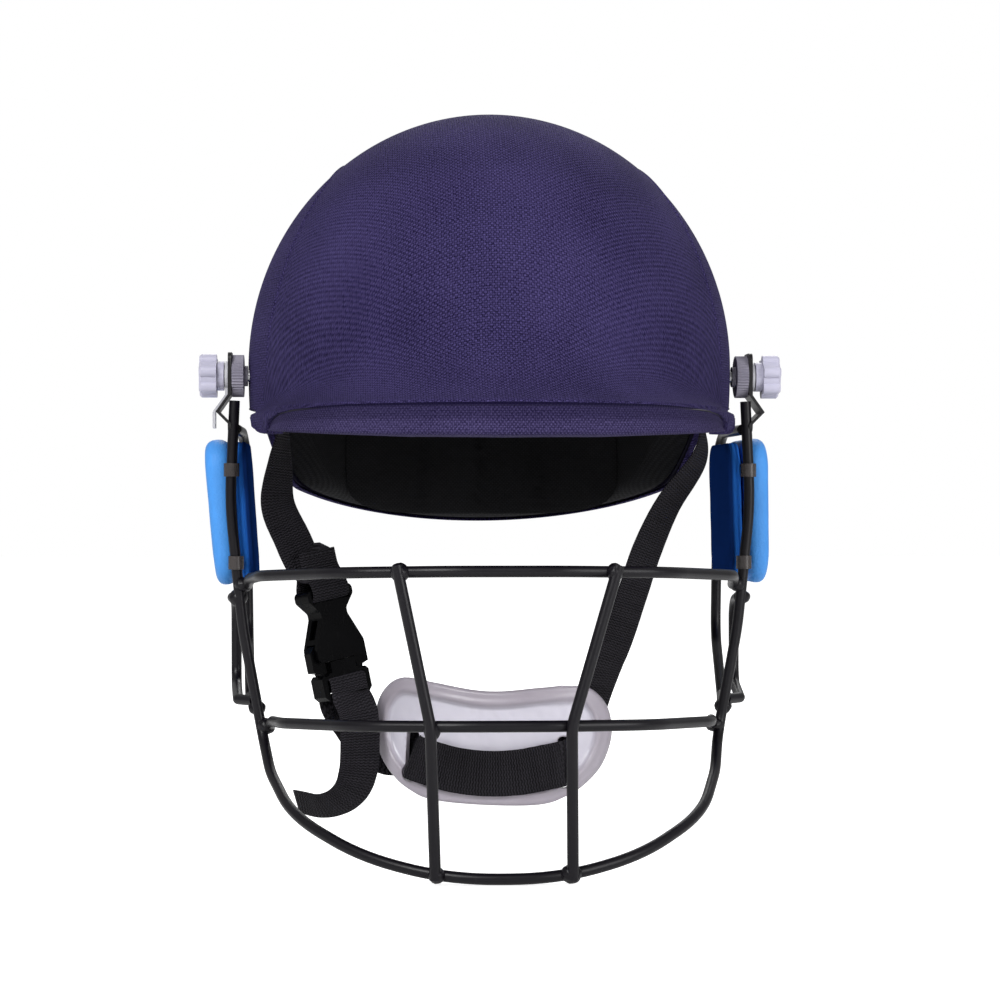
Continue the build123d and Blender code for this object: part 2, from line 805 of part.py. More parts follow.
def ribbon(points, turns, breaks=()):
    """Flat webbing through places, each with its own turn, in separate runs between breaks."""
    faces = []
    for index, centre in enumerate(points):
        before = points[max(index - 1, 0)]
        after = points[min(index + 1, len(points) - 1)]
        along = (after - before).normalized()
        plane = Plane(origin=centre, x_dir=web_across(along, turns[index]), z_dir=along)
        faces.append((plane * Rectangle(web_width, web_thickness)).face())
    marks = [0, *breaks, len(points) - 1]
    runs = [loft(faces[a : b + 1], ruled=True) for a, b in zip(marks, marks[1:])]
    return runs[0].fuse(*runs[1:]) if len(runs) > 1 else runs[0]


def left_strap_points():
    """The places along the left strap, from its end above the anchor to its join."""
    top = Vector(anchor_x, -anchor_forward, -anchor_drop + web_width / 2)
    return [top] + [strap_point(*place) for place in left_strap_shares]


# The buckle's own frame: across, up towards the anchor, and out of its face
buckle_up = Vector(-sin(radians(buckle_lean)), 0, cos(radians(buckle_lean)))
buckle_face = Vector(0, -1, 0).rotate(Axis((0, 0, 0), tuple(buckle_up)), buckle_turn)
buckle_across = buckle_up.cross(buckle_face)
buckle_mouth = strap_point(-0.738, 0, 0.79)
buckle_plane = Plane(origin=buckle_mouth, x_dir=buckle_across, z_dir=buckle_face)


def in_buckle(shape):
    """Moves a shape drawn in the buckle's own frame to its place on the strap."""
    return buckle_plane * shape


def buckle_point(across, up, out=0.0):
    """A place given in the buckle's own frame."""
    return buckle_mouth + buckle_across * across + buckle_up * up + buckle_face * out


buckle_inner_half = buckle_width / 2 - socket_wall
channel_height = buckle_thickness - 2 * socket_wall
prong_height = channel_height - 2 * prong_room
bridge_end = notch_length + bridge_length
plug_bar_high = plug_base_length * plug_slot_shares[0] + web_thickness
plug_bar_low = plug_base_length * plug_slot_shares[1] - web_thickness
web_out_of_plug = plug_thickness / 2 + 3 * stack_gap + web_thickness / 2


def both_sides(right):
    """An outline's right half joined to its mirror image."""
    return Polyline(*right, *[(-x, y) for x, y in reversed(right)], close=True)


def make_socket():
    """The buckle's upper half: a hollow mouth with side openings, and the bar the web turns round."""
    half, top = buckle_width / 2, socket_length
    right = [(half * x, top * y) for x, y in socket_outline_shares]
    body = extrude(make_face(both_sides(right)), amount=buckle_thickness / 2, both=True)
    body = fillet(body.edges().filter_by(Axis.Z), socket_corner_radius)
    inside = [
        (buckle_inner_half, -overrun),
        (buckle_inner_half, notch_length),
        (buckle_inner_half - bridge_in, notch_length),
        (buckle_inner_half - bridge_in, bridge_end),
        (buckle_inner_half / 2, bridge_end + window_length),
    ]
    hollow = extrude(make_face(both_sides(inside)), amount=channel_height / 2, both=True)
    notch = Pos(0, notch_length / 2 - overrun / 2, 0) * Box(
        4 * half, notch_length + overrun, channel_height
    )
    window = Pos(0, bridge_end + window_length / 2, 0) * Box(
        4 * half, window_length, channel_height - socket_wall
    )
    slot = Pos(0, top - web_bar_depth, 0) * Box(
        web_width + 2 * buckle_clearance, 2 * web_thickness + 2 * buckle_clearance, 4 * buckle_thickness
    )
    return in_buckle(body - hollow - notch - window - slot)


def make_plug():
    """The buckle's lower half: its base with two web slots, and the guide tongue."""
    half = buckle_width / 2
    base_length = plug_base_length - plug_neck_length
    base = Pos(0, -plug_neck_length - base_length / 2, 0) * Box(
        buckle_width, base_length, plug_thickness
    )
    base = chamfer(base.edges().filter_by(Axis.Z), socket_wall)
    neck = Pos(0, -plug_neck_length / 2 - buckle_clearance, 0) * Box(
        2 * plug_neck_half_width, plug_neck_length, plug_thickness
    )
    for side in (-1, 1):
        seat = Cylinder(prong_root_radius + prong_root_gap, 2 * buckle_thickness)
        base = base - Pos(side * prong_root[0], prong_root[1], 0) * seat
    for share in plug_slot_shares:
        slot = Pos(0, -plug_base_length * share, 0) * Box(
            web_width + 2 * buckle_clearance, 2 * web_thickness, 2 * buckle_thickness
        )
        base = base - slot
    tongue = Pos(0, tongue_length / 2 - socket_wall / 2, 0) * Box(
        tongue_width, tongue_length + socket_wall, prong_height
    )
    return in_buckle(base + neck + tongue)


def make_prong(side):
    """One springy prong: an arm on a round root in the plug's base, with a thumb press."""
    outline = make_face(Polyline(*prong_places, close=True))
    arm = extrude(outline, amount=prong_height / 2, both=True)
    arm = arm + Pos(*prong_root) * Cylinder(prong_root_radius, prong_height)
    return in_buckle(arm if side > 0 else mirror_x(arm))


# Chin cup: a dish bent round an upright axis behind it

cup_axis_y = -cup_forward + cup_bend_radius
cup_place = Pos(cup_shift, cup_axis_y, -cup_drop) * Rot(0, cup_roll, -cup_turn)


def cup_outline(inset):
    """The cup seen from the front, drawn in by an inset."""
    half_width = cup_width / 2 - inset
    half_height = cup_height / 2 - inset
    right = [(x * half_width, z * half_height) for x, z in cup_outline_shares]
    points = right + [(-x, z) for x, z in reversed(right)]
    outline = make_face(Polyline(*points, close=True))
    return fillet(outline.vertices(), cup_corner_radius)


def cup_layer(inset, near, far):
    """The part of a round wall, between two depths behind its front, inside the cup's outline."""
    front = extrude(Plane.XZ * cup_outline(inset), amount=2 * cup_bend_radius)
    wall = Cylinder(cup_bend_radius - near, 2 * cup_height)
    wall = wall - Cylinder(cup_bend_radius - far, 4 * cup_height)
    return wall & front


def cup_slots():
    """The two upright slots that the strap passes through."""
    cut = []
    for side in (-1, 1):
        turn = Rot(0, 0, side * slot_angle)
        slot = Box(slot_width, overrun, slot_length)
        cut.append(turn * (Pos(0, -cup_bend_radius, -slot_drop) * slot))
    return cut[0] + cut[1]


def make_cup():
    """The moulded chin cup: a raised rim round a recessed middle, with two slots."""
    middle = cup_layer(cup_rim_width / 2, cup_recess, cup_recess + cup_wall)
    rim = cup_layer(0, 0, cup_recess + cup_wall) - cup_layer(cup_rim_width, -overrun, overrun)
    return cup_place * (middle + rim - cup_slots())


def make_cup_pad():
    """The soft pad behind the cup, between the slots."""
    behind = cup_recess + cup_wall + stack_gap
    pad = cup_layer(cup_rim_width, behind, behind + cup_pad_thickness)
    keep = Box(2 * cup_pad_half_width, 4 * cup_bend_radius, cup_pad_height)
    return cup_place * (pad & keep)


def cup_point(angle, behind, z):
    """A place on the cup: an angle round its bend, a depth behind its front and a height."""
    reach = cup_bend_radius - behind
    local = Vector(reach * sin(radians(angle)), -reach * cos(radians(angle)), z)
    return Vector(*(cup_place * Pos(local.X, local.Y, local.Z)).position)


def make_cup_strap():
    """The strap from its join with the left strap, through the cup, to the buckle's plug."""
    start, end = left_strap_points()[-2:]
    points = [end + (end - start).normalized() * soft_gap]
    points += [strap_point(*place) for place in cup_lead_shares]
    for angle, behind, height in cup_strap_places:
        points.append(cup_point(angle, behind, height - slot_drop))
    points += [strap_point(*place) for place in plug_run_shares]
    points.append(buckle_point(0, -plug_base_length - 2 * web_thickness, -web_out_of_plug))
    points.append(buckle_point(0, -plug_bar_low - web_thickness, -web_out_of_plug))
    turns = [*cup_lead_turns, *[0 for _ in cup_strap_places], *plug_run_turns]
    lead = len(cup_lead_shares)
    slots = (lead + cup_slot_rows[0], lead + cup_slot_rows[1])
    strap = ribbon(points, turns, slots)
    return strap.fuse(in_buckle(bar_wrap(plug_thickness)))


def bar_wrap(thickness):
    """Webbing wrapped once round the bar between the plug's two slots."""
    depth = plug_bar_low - plug_bar_high + 2 * stack_gap
    place = Pos(0, -(plug_bar_low + plug_bar_high) / 2, 0)
    outside = Box(web_width, depth + 2 * web_thickness, thickness + 2 * stack_gap + 2 * web_thickness)
    inside = Box(2 * web_width, depth, thickness + 2 * stack_gap)
    return place * (outside - inside)


def make_tail():
    """The strap's free end: down from the plug's face, then curling away to the side."""
    start = buckle_point(0, -plug_bar_low - web_thickness - 2 * stack_gap, web_out_of_plug)
    points = [start, buckle_point(0, -plug_base_length, web_out_of_plug)]
    points += [strap_point(*place) for place in tail_shares]
    return ribbon(points, tail_turns)


def make_anchor(side):
    """A strap anchor: a sleeve against the shell, a shank through the web and a flat head."""
    place = Pos(0, -anchor_forward, -anchor_drop)
    web_out = anchor_x + web_thickness / 2
    web_in = anchor_x - web_thickness / 2
    sleeve = Pos((web_out + shell_half_width) / 2 + stack_gap, 0, 0) * Cylinder(
        sleeve_radius, shell_half_width - web_out, rotation=(0, 90, 0)
    )
    sleeve = (place * sleeve) & dome(-shell_wall - stud_clearance)
    shank = place * (Pos(anchor_x, 0, 0) * Cylinder(
        rivet_radius, 4 * web_thickness, rotation=(0, 90, 0)
    ))
    head = Pos(web_in - stack_gap - rivet_head_height / 2, 0, 0) * Cylinder(
        sleeve_radius, rivet_head_height, rotation=(0, 90, 0)
    )
    anchor = sleeve + shank + place * head
    anchor = largest(anchor)
    return anchor if side > 0 else mirror_x(anchor)


def web_hole(side):
    """The hole that an anchor's shank passes through."""
    bar = Cylinder(rivet_radius + rivet_clearance, 8 * web_thickness, rotation=(0, 90, 0))
    return Pos(side * anchor_x, -anchor_forward, -anchor_drop) * bar


def make_right_strap():
    """The buckle side's upper strap, from its anchor to a loop round the socket's bar."""
    points = [Vector(-anchor_x, -anchor_forward, -anchor_drop + web_width / 2)]
    points += [strap_point(*place) for place in right_strap_shares]
    points.append(buckle_point(0, socket_length + web_width / 4))
    points.append(buckle_point(0, socket_length + web_thickness))
    strap = ribbon(points, list(right_strap_turns) + [-buckle_turn]) - web_hole(-1)
    depth = web_bar_depth + stack_gap
    height = buckle_thickness + 2 * stack_gap
    loop = Box(web_width, depth + 2 * web_thickness, height + 2 * web_thickness)
    loop = loop - Box(2 * web_width, depth, height)
    return strap + in_buckle(Pos(0, socket_length - web_bar_depth / 2, 0) * loop)


def make_left_strap():
    """The plain side's upper strap, from its anchor down to where the cup's strap takes over."""
    return ribbon(left_strap_points(), left_strap_turns) - web_hole(1)


def main():
    os.makedirs("parts", exist_ok=True)
    shell, cover = make_shell()
    stud = make_stud()
    hole = bar_along_x(stud_radius + wall_hole_clearance, inner_wall_x - overrun, wall_x + overrun)
    holes = hole + mirror_x(hole)
    save("outer_shell", shell - holes)
    save("cloth_cover", cover - holes)
    save("peak_lip", make_lip())
    save("foam_liner", make_liner())
    for node, pad in make_pads().items():
        save(node, pad)
    save("left_pivot_stud", stud)
    save("right_pivot_stud", mirror_x(stud))
    wheel, knob = make_wheel(), make_knob()
    save("left_toothed_wheel", wheel)
    save("right_toothed_wheel", mirror_x(wheel))
    save("left_thumb_knob", knob)
    save("right_thumb_knob", mirror_x(knob))
    save("left_tab_washer", make_tab_washer(left_tab_turn))
    save("right_tab_washer", mirror_x(make_tab_washer(right_tab_turn)))
    plate = make_side_plate()
    save("left_side_plate", plate)
    save("right_side_plate", mirror_x(plate))
    save("chin_hoop", make_hoop(wire_radius))
    save("eye_bar", make_cross_bar(eye_bar_drop, eye_bar_reach))
    save("mouth_bar", make_cross_bar(mouth_bar_drop, mouth_bar_reach))
    save("left_upright", make_upright(left_top_spacing, left_knee_spacing))
    save("right_upright", mirror_x(make_upright(right_top_spacing, right_knee_spacing)))
    stay = make_stay()
    save("left_rear_stay", stay)
    save("right_rear_stay", mirror_x(stay))
    loop = make_jaw_loop()
    save("left_jaw_loop", loop)
    save("right_jaw_loop", mirror_x(loop))
    for side, lean, own_side in (
        ("left", left_guard_lean, as_drawn),
        ("right", right_guard_lean, mirror_x),
    ):
        pad, panel, clips, rivets = make_guard(lean)
        save(f"{side}_ear_guard", own_side(pad))
        save(f"{side}_ear_panel", own_side(panel))
        save(f"{side}_guard_clips", *[own_side(clip) for clip in clips])
        save(f"{side}_guard_rivets", *[own_side(rivet) for rivet in rivets])
    save("left_strap_anchor", make_anchor(1))
    save("right_strap_anchor", make_anchor(-1))
    save("buckle_socket", make_socket())
    save("buckle_plug", make_plug())
    save("left_buckle_prong", make_prong(1))
    save("right_buckle_prong", make_prong(-1))
    save("chin_cup", make_cup())
    save("chin_cup_pad", make_cup_pad())
    save("right_strap", make_right_strap())
    save("left_strap", make_left_strap())
    save("cup_strap", make_cup_strap())
    save("strap_tail", make_tail())


main()
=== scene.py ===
from math import atan2, cos, pi, radians, sin, sqrt

import bmesh
import bpy
import numpy as np
from mathutils import Matrix, Vector, bvhtree, geometry, noise


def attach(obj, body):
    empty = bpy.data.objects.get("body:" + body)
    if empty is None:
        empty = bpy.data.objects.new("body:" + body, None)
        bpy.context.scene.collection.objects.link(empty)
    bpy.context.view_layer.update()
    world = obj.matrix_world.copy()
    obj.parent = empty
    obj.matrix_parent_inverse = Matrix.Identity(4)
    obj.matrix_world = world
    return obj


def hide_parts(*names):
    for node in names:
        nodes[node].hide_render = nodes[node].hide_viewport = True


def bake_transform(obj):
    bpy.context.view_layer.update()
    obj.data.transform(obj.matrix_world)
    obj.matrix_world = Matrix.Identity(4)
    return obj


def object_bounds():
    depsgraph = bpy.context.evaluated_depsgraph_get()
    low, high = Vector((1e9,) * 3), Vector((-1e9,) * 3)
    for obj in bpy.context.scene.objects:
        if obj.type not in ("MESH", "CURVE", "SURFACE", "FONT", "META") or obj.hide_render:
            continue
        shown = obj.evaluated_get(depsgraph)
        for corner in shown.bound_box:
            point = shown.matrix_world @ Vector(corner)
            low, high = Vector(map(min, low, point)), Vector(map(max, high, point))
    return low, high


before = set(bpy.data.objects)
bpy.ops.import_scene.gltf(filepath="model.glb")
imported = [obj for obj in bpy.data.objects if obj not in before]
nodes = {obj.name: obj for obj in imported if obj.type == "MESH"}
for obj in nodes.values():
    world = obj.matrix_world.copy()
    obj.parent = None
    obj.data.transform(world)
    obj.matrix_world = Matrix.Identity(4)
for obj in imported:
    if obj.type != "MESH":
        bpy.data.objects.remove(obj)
cadBounds = [list(corner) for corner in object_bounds()]
print("frame loaded:", len(nodes), "nodes")

mm = 0.001


# Small helpers for meshes

def addObject(name, mesh, material=None):
    piece = bpy.data.objects.new(name, mesh)
    bpy.context.scene.collection.objects.link(piece)
    if material is not None:
        mesh.materials.append(material)
    return piece


def meshPiece(name, points, faces, material, smooth=True):
    mesh = bpy.data.meshes.new(name)
    mesh.from_pydata([tuple(p) for p in points], [], [tuple(f) for f in faces])
    mesh.polygons.foreach_set("use_smooth", [smooth] * len(mesh.polygons))
    mesh.update()
    return addObject(name, mesh, material)


def faceOutwards(piece):
    # points every face of a closed piece outwards
    work = bmesh.new()
    work.from_mesh(piece.data)
    bmesh.ops.recalc_face_normals(work, faces=work.faces)
    if work.calc_volume(signed=True) < 0:
        bmesh.ops.reverse_faces(work, faces=work.faces)
    work.to_mesh(piece.data)
    work.free()


def bakeModifiers(piece):
    # turns the piece with its modifiers into one plain mesh
    evaluated = piece.evaluated_get(bpy.context.evaluated_depsgraph_get())
    plain = bpy.data.meshes.new_from_object(evaluated)
    piece.modifiers.clear()
    piece.data = plain
    return piece


def writeUv(piece, pick):
    # pick gives each face's pattern places from its corner indices
    layer = piece.data.uv_layers.new(name="pattern")
    for face in piece.data.polygons:
        values = pick(list(face.vertices))
        for loop, value in zip(face.loop_indices, values):
            layer.data[loop].uv = value


def writePointValues(piece, name, values):
    piece.data.attributes.new(name, "FLOAT", "POINT").data.foreach_set("value", values)


def surfaceTree(mesh):
    return bvhtree.BVHTree.FromPolygons([v.co for v in mesh.vertices],
                                        [tuple(f.vertices) for f in mesh.polygons])


def tubeFaces(rings, around):
    # quads between rings of points that follow each other
    faces = []
    for ring in range(rings - 1):
        for k in range(around):
            a = ring * around + k
            b = ring * around + (k + 1) % around
            faces.append((a, b, b + around, a + around))
    return faces


def cappedTube(rings, around):
    # the same, with one face over each end
    last = (rings - 1) * around
    return tubeFaces(rings, around) + [tuple(range(around))[::-1], tuple(range(last, last + around))]


def discFaces(rings, spokes):
    # a closed pad: two layers of rings, joined at the edge, each with a point in its middle
    count = rings * spokes
    edge = count - spokes
    faces = [tuple(v + count * layer for v in f) for layer in (0, 1) for f in tubeFaces(rings, spokes)]
    faces += [(edge + k, edge + (k + 1) % spokes, count + edge + (k + 1) % spokes, count + edge + k)
              for k in range(spokes)]
    faces += [(layer * count + k, layer * count + (k + 1) % spokes, 2 * count + layer)
              for layer in (0, 1) for k in range(spokes)]
    return faces


def discPlaces(rings, spokes, crowding):
    # the pad's points but the two middle ones, as layer, share of the way out and spoke
    for layer in (0, 1):
        for ring in range(1, rings + 1):
            for spoke in range(spokes):
                yield layer, 1 - (1 - ring / rings) ** crowding, spoke


def squareReach(turn, squareness=5.0):
    # how far out a square with very round corners and a half side of 1 reaches
    return (abs(cos(turn)) ** squareness + abs(sin(turn)) ** squareness) ** (-1 / squareness)


def unitRows(rows):
    return rows / np.linalg.norm(rows, axis=1)[:, None]


def runAlong(points):
    # how far along its line each point lies
    return np.concatenate([[0], np.cumsum(np.linalg.norm(np.diff(points, axis=0), axis=1))])


def smoothPath(points, step):
    # an even walk along a smooth curve through the points; values after the first three go with them
    points = [np.array(p, float) for p in points]
    ends = [2 * points[0] - points[1]] + points + [2 * points[-1] - points[-2]]
    dense = []
    for k in range(1, len(ends) - 2):
        p0, p1, p2, p3 = ends[k - 1:k + 3]
        count = max(int(np.linalg.norm(p2[:3] - p1[:3]) / step * 3), 3)
        for j in range(count):
            t = j / count
            dense.append(0.5 * (2 * p1 + (p2 - p0) * t + (2 * p0 - 5 * p1 + 4 * p2 - p3) * t * t
                                + (3 * p1 - p0 - 3 * p2 + p3) * t ** 3))
    dense.append(ends[-2])
    dense = np.array(dense)
    run = runAlong(dense[:, :3])
    even = np.linspace(0, run[-1], max(int(run[-1] / step), 2) + 1)
    return np.stack([np.interp(even, run, values) for values in dense.T], axis=1)


# Small helpers for node trees

def feed(tree, sockets, values):
    # links a socket to another node's socket, or sets it to a plain value
    for key, value in values.items():
        if isinstance(value, bpy.types.NodeSocket):
            tree.links.new(value, sockets[key])
        else:
            sockets[key].default_value = value


def addNode(tree, kind, inputs=None, **settings):
    node = tree.nodes.new(kind)
    for key, value in settings.items():
        setattr(node, key, value)
    feed(tree, node.inputs, inputs or {})
    return node


def useGroup(tree, group, inputs):
    return addNode(tree, "ShaderNodeGroup", inputs, node_tree=group).outputs


def calc(tree, operation, a, b=0.0):
    return addNode(tree, "ShaderNodeMath", {0: a, 1: b}, operation=operation).outputs[0]


def plus(tree, a, b):
    return calc(tree, "ADD", a, b)


def times(tree, a, b):
    return calc(tree, "MULTIPLY", a, b)


def ridge(tree, value):
    # a row of round ridges, one for each unit
    return calc(tree, "ABSOLUTE", calc(tree, "SINE", times(tree, value, pi)))


def swing(tree, share, amount):
    # a share from 0 to 1 as a change of the given amount, up and down
    return times(tree, calc(tree, "SUBTRACT", share, 0.5), amount)


def noiseShare(tree, vector, scale, detail, **more):
    inputs = {"Vector": vector, "Scale": scale, "Detail": detail, **more}
    return addNode(tree, "ShaderNodeTexNoise", inputs).outputs["Fac"]


def objectPlace(tree):
    return addNode(tree, "ShaderNodeTexCoord").outputs["Object"]


def pointValue(tree, name):
    return addNode(tree, "ShaderNodeAttribute", attribute_name=name).outputs["Fac"]


def blendColour(tree, share, low, high):
    mix = addNode(tree, "ShaderNodeMix", {"Factor": share}, data_type="RGBA")
    ends = {6: low, 7: high}
    feed(tree, mix.inputs,
         {k: (*end, 1.0) if isinstance(end, (tuple, list)) else end for k, end in ends.items()})
    return mix.outputs[2]


def newGroup(name, kind, inputs, outputs):
    # inputs are (label, kind of socket, default), and outputs (label, kind of socket)
    group = bpy.data.node_groups.new(name, kind)
    for label, sort, default in inputs:
        socket = group.interface.new_socket(name=label, in_out="INPUT", socket_type="NodeSocket" + sort)
        if default is not None:
            socket.default_value = default
    for label, sort in outputs:
        group.interface.new_socket(name=label, in_out="OUTPUT", socket_type="NodeSocket" + sort)
    return group, group.nodes.new("NodeGroupInput").outputs, group.nodes.new("NodeGroupOutput").inputs


# Shader groups that several finishes share

def makeThreadGroup():
    # over and under threads of a plain weave, with uneven yarn
    look = {"yarn": 900.0, "relief": 0.55, "over": 0.34, "darker": 0.06}
    group, given, result = newGroup("threadWeave", "ShaderNodeTree",
                                    [("Vector", "Vector", None), ("Pitch", "Float", 0.0008),
                                     ("Slub", "Float", 0.3)],
                                    [("Height", "Float"), ("Shade", "Float")])
    axes = addNode(group, "ShaderNodeSeparateXYZ", {0: given["Vector"]}).outputs
    u, v = (calc(group, "DIVIDE", axes[k], given["Pitch"]) for k in (0, 1))
    cell = plus(group, calc(group, "FLOOR", u), calc(group, "FLOOR", v))
    over = times(group, calc(group, "FRACT", times(group, cell, 0.5)), 2.0)
    high = addNode(group, "ShaderNodeMix", {0: over, 2: ridge(group, u), 3: ridge(group, v)}).outputs[0]
    uneven = swing(group, noiseShare(group, given["Vector"], look["yarn"], 2.0), given["Slub"])
    height = plus(group, high, uneven)
    lift = plus(group, times(group, height, look["relief"]), times(group, over, look["over"]))
    shade = calc(group, "SUBTRACT", plus(group, lift, uneven), look["darker"])
    feed(group, result, {"Height": height, "Shade": shade})
    return group


def makeRibGroup():
    # cross ribs of woven tape, with the weft's small stagger
    look = {"stagger": 0.18, "fuzz": 1500.0, "knot": 0.45, "relief": 0.55, "fuzzShade": 0.7}
    group, given, result = newGroup("tapeRibs", "ShaderNodeTree",
                                    [("Vector", "Vector", None), ("Pitch", "Float", 0.0012)],
                                    [("Height", "Float"), ("Shade", "Float")])
    axes = addNode(group, "ShaderNodeSeparateXYZ", {0: given["Vector"]}).outputs
    across, along = (calc(group, "DIVIDE", axes[k], given["Pitch"]) for k in (0, 1))
    stagger = times(group, calc(group, "SINE", times(group, across, pi)), look["stagger"])
    rib = ridge(group, plus(group, along, stagger))
    height = plus(group, rib, times(group, times(group, rib, ridge(group, across)), look["knot"]))
    fuzz = swing(group, noiseShare(group, given["Vector"], look["fuzz"], 2.0), look["fuzzShade"])
    feed(group, result, {"Height": height, "Shade": plus(group, times(group, height, look["relief"]), fuzz)})
    return group


def makeGrainGroup():
    # moulded or coated surface: fine orange peel, slow mottling and thin scuff lines
    look = {"lines": (900.0, 900.0, 90.0), "lean": (0.5, 0.3, 0.2), "scuffFrom": 0.66, "scuffTo": 0.74}
    group, given, result = newGroup("surfaceGrain", "ShaderNodeTree",
                                    [("Scale", "Float", 900.0), ("Mottle", "Float", 40.0)],
                                    [("Height", "Float"), ("Patch", "Float"), ("Scuff", "Float")])
    place = objectPlace(group)
    stretched = addNode(group, "ShaderNodeMapping",
                        {"Vector": place, "Scale": look["lines"], "Rotation": look["lean"]})
    lines = noiseShare(group, stretched.outputs[0], 1.0, 2.0)
    scuff = addNode(group, "ShaderNodeMapRange", {"Value": lines, "From Min": look["scuffFrom"],
                                                  "From Max": look["scuffTo"], "To Min": 0.0, "To Max": 1.0})
    feed(group, result, {"Height": noiseShare(group, place, given["Scale"], 3.0, Roughness=0.6),
                         "Patch": noiseShare(group, place, given["Mottle"], 4.0), "Scuff": scuff.outputs[0]})
    return group


threadWeave = makeThreadGroup()
surfaceGrain = makeGrainGroup()
tapeRibs = makeRibGroup()


# Finishes

def startFinish(name, roughness):
    material = bpy.data.materials.new(name)
    material.use_nodes = True
    tree = material.node_tree
    shader = tree.nodes["Principled BSDF"]
    shader.inputs["Roughness"].default_value = roughness
    return material, tree, shader.inputs


def addBump(tree, inputs, height, strength, distance=0.0002):
    bump = addNode(tree, "ShaderNodeBump", {"Strength": strength, "Distance": distance, "Height": height})
    feed(tree, inputs, {"Normal": bump.outputs[0]})


def wovenFinish(name, low, high, pitch, slub, bump, roughness, sheen, tint, source="UV", paintedShade=None):
    # a slub of zero or less gives ribbed tape instead of plain weave; the last argument names a point attribute
    # whose values darken the colour as painted shade
    look = {"weave": 0.8, "slowScale": 22.0, "slow": 0.5, "sheenRoughness": 0.45, "specular": 0.08,
            "depth": 0.0003}
    material, tree, inputs = startFinish(name, roughness)
    place = addNode(tree, "ShaderNodeTexCoord").outputs
    if slub > 0:
        weave = useGroup(tree, threadWeave, {"Vector": place[source], "Pitch": pitch, "Slub": slub})
    else:
        weave = useGroup(tree, tapeRibs, {"Vector": place[source], "Pitch": pitch})
    slow = swing(tree, noiseShare(tree, place["Object"], look["slowScale"], 3.0), look["slow"])
    share = plus(tree, times(tree, weave["Shade"], look["weave"]), slow)
    if paintedShade:
        share = times(tree, share, pointValue(tree, paintedShade))
    feed(tree, inputs, {"Base Color": blendColour(tree, share, low, high), "Sheen Weight": sheen,
                        "Sheen Roughness": look["sheenRoughness"], "Sheen Tint": (*tint, 1.0),
                        "Specular IOR Level": look["specular"]})
    addBump(tree, inputs, weave["Height"], bump, look["depth"])
    return material


def mouldedFinish(name, colour, roughness, grain=900.0, bump=0.15, vary=0.12, coat=0.0, scuffed=0.0,
                  subsurface=0.0, specular=0.5, metallic=0.0):
    look = {"mottle": 40.0, "worn": 2.2, "wornLift": 0.05, "wornMost": 0.8, "unevenGloss": 0.2,
            "coatRoughness": 0.25, "radius": (0.006, 0.006, 0.007)}
    material, tree, inputs = startFinish(name, roughness)
    texture = useGroup(tree, surfaceGrain, {"Scale": grain, "Mottle": look["mottle"]})
    low = [c * (1 - vary) for c in colour]
    high = [min(c * (1 + vary), 1.0) for c in colour]
    shade = blendColour(tree, texture["Patch"], low, high)
    if scuffed:
        worn = [min(c * look["worn"] + look["wornLift"], look["wornMost"]) for c in colour]
        shade = blendColour(tree, times(tree, texture["Scuff"], scuffed), shade, worn)
    half = look["unevenGloss"] / 2
    uneven = plus(tree, times(tree, texture["Patch"], look["unevenGloss"]), roughness - half)
    feed(tree, inputs, {"Base Color": shade, "Roughness": uneven, "Coat Weight": coat, "Metallic": metallic,
                        "Coat Roughness": look["coatRoughness"], "Specular IOR Level": specular})
    if subsurface:
        feed(tree, inputs, {"Subsurface Weight": subsurface, "Subsurface Radius": look["radius"]})
    addBump(tree, inputs, texture["Height"], bump)
    return material


navyCloth = wovenFinish("navyCloth", (0.003, 0.001, 0.018), (0.078, 0.062, 0.188), 0.0011, 0.9, 0.9, 0.85,
                        0.02, (0.45, 0.42, 0.70))
lipCloth = wovenFinish("lipCloth", (0.004, 0.002, 0.022), (0.092, 0.074, 0.190), 0.0010, 0.9, 0.8, 0.85,
                       0.03, (0.50, 0.46, 0.72), paintedShade="paintedShade")
liningKnit = wovenFinish("liningKnit", (0.0050, 0.0050, 0.0054), (0.021, 0.021, 0.023), 0.0009, 0.35, 0.4,
                         0.9,
                         0.06, (0.4, 0.4, 0.42))
webbingCloth = wovenFinish("webbingCloth", (0.0010, 0.0010, 0.0012), (0.038, 0.035, 0.043), 0.0012, 0.0, 1.0,
                           0.6,
                           0.02, (0.5, 0.5, 0.55))
cupFoam = wovenFinish("cupFoam", (0.28, 0.27, 0.29), (0.38, 0.37, 0.40), 0.0011, 0.4, 0.3, 0.9, 0.05,
                      (0.6, 0.6, 0.62))
stitchThread = wovenFinish("stitchThread", (0.010, 0.010, 0.011), (0.045, 0.044, 0.050), 0.0003, 0.2, 0.3,
                           0.65,
                           0.1, (0.5, 0.5, 0.55), source="Object")
shellPlastic = mouldedFinish("shellPlastic", (0.006, 0.005, 0.014), 0.5, bump=0.1, specular=0.15)
coatedWire = mouldedFinish("coatedWire", (0.0040, 0.0032, 0.0055), 0.34, grain=2200.0, bump=0.22,
                           specular=0.28,
                           scuffed=0.10)
wornPlate = mouldedFinish("wornPlate", (0.008, 0.0075, 0.0085), 0.34, grain=1800.0, specular=0.4, scuffed=0.5)
turnedSteel = mouldedFinish("turnedSteel", (0.55, 0.55, 0.57), 0.32, grain=1500.0, bump=0.08, vary=0.1,
                            scuffed=0.3, metallic=1.0)
greyPlastic = mouldedFinish("greyPlastic", (0.250, 0.236, 0.296), 0.5, bump=0.12, scuffed=0.08,
                            subsurface=0.05)
palePlastic = mouldedFinish("palePlastic", (0.500, 0.488, 0.610), 0.38, bump=0.08, vary=0.06, coat=0.1,
                            subsurface=0.1)
tabPlastic = mouldedFinish("tabPlastic", (0.520, 0.520, 0.560), 0.42, bump=0.08, vary=0.06, subsurface=0.1)
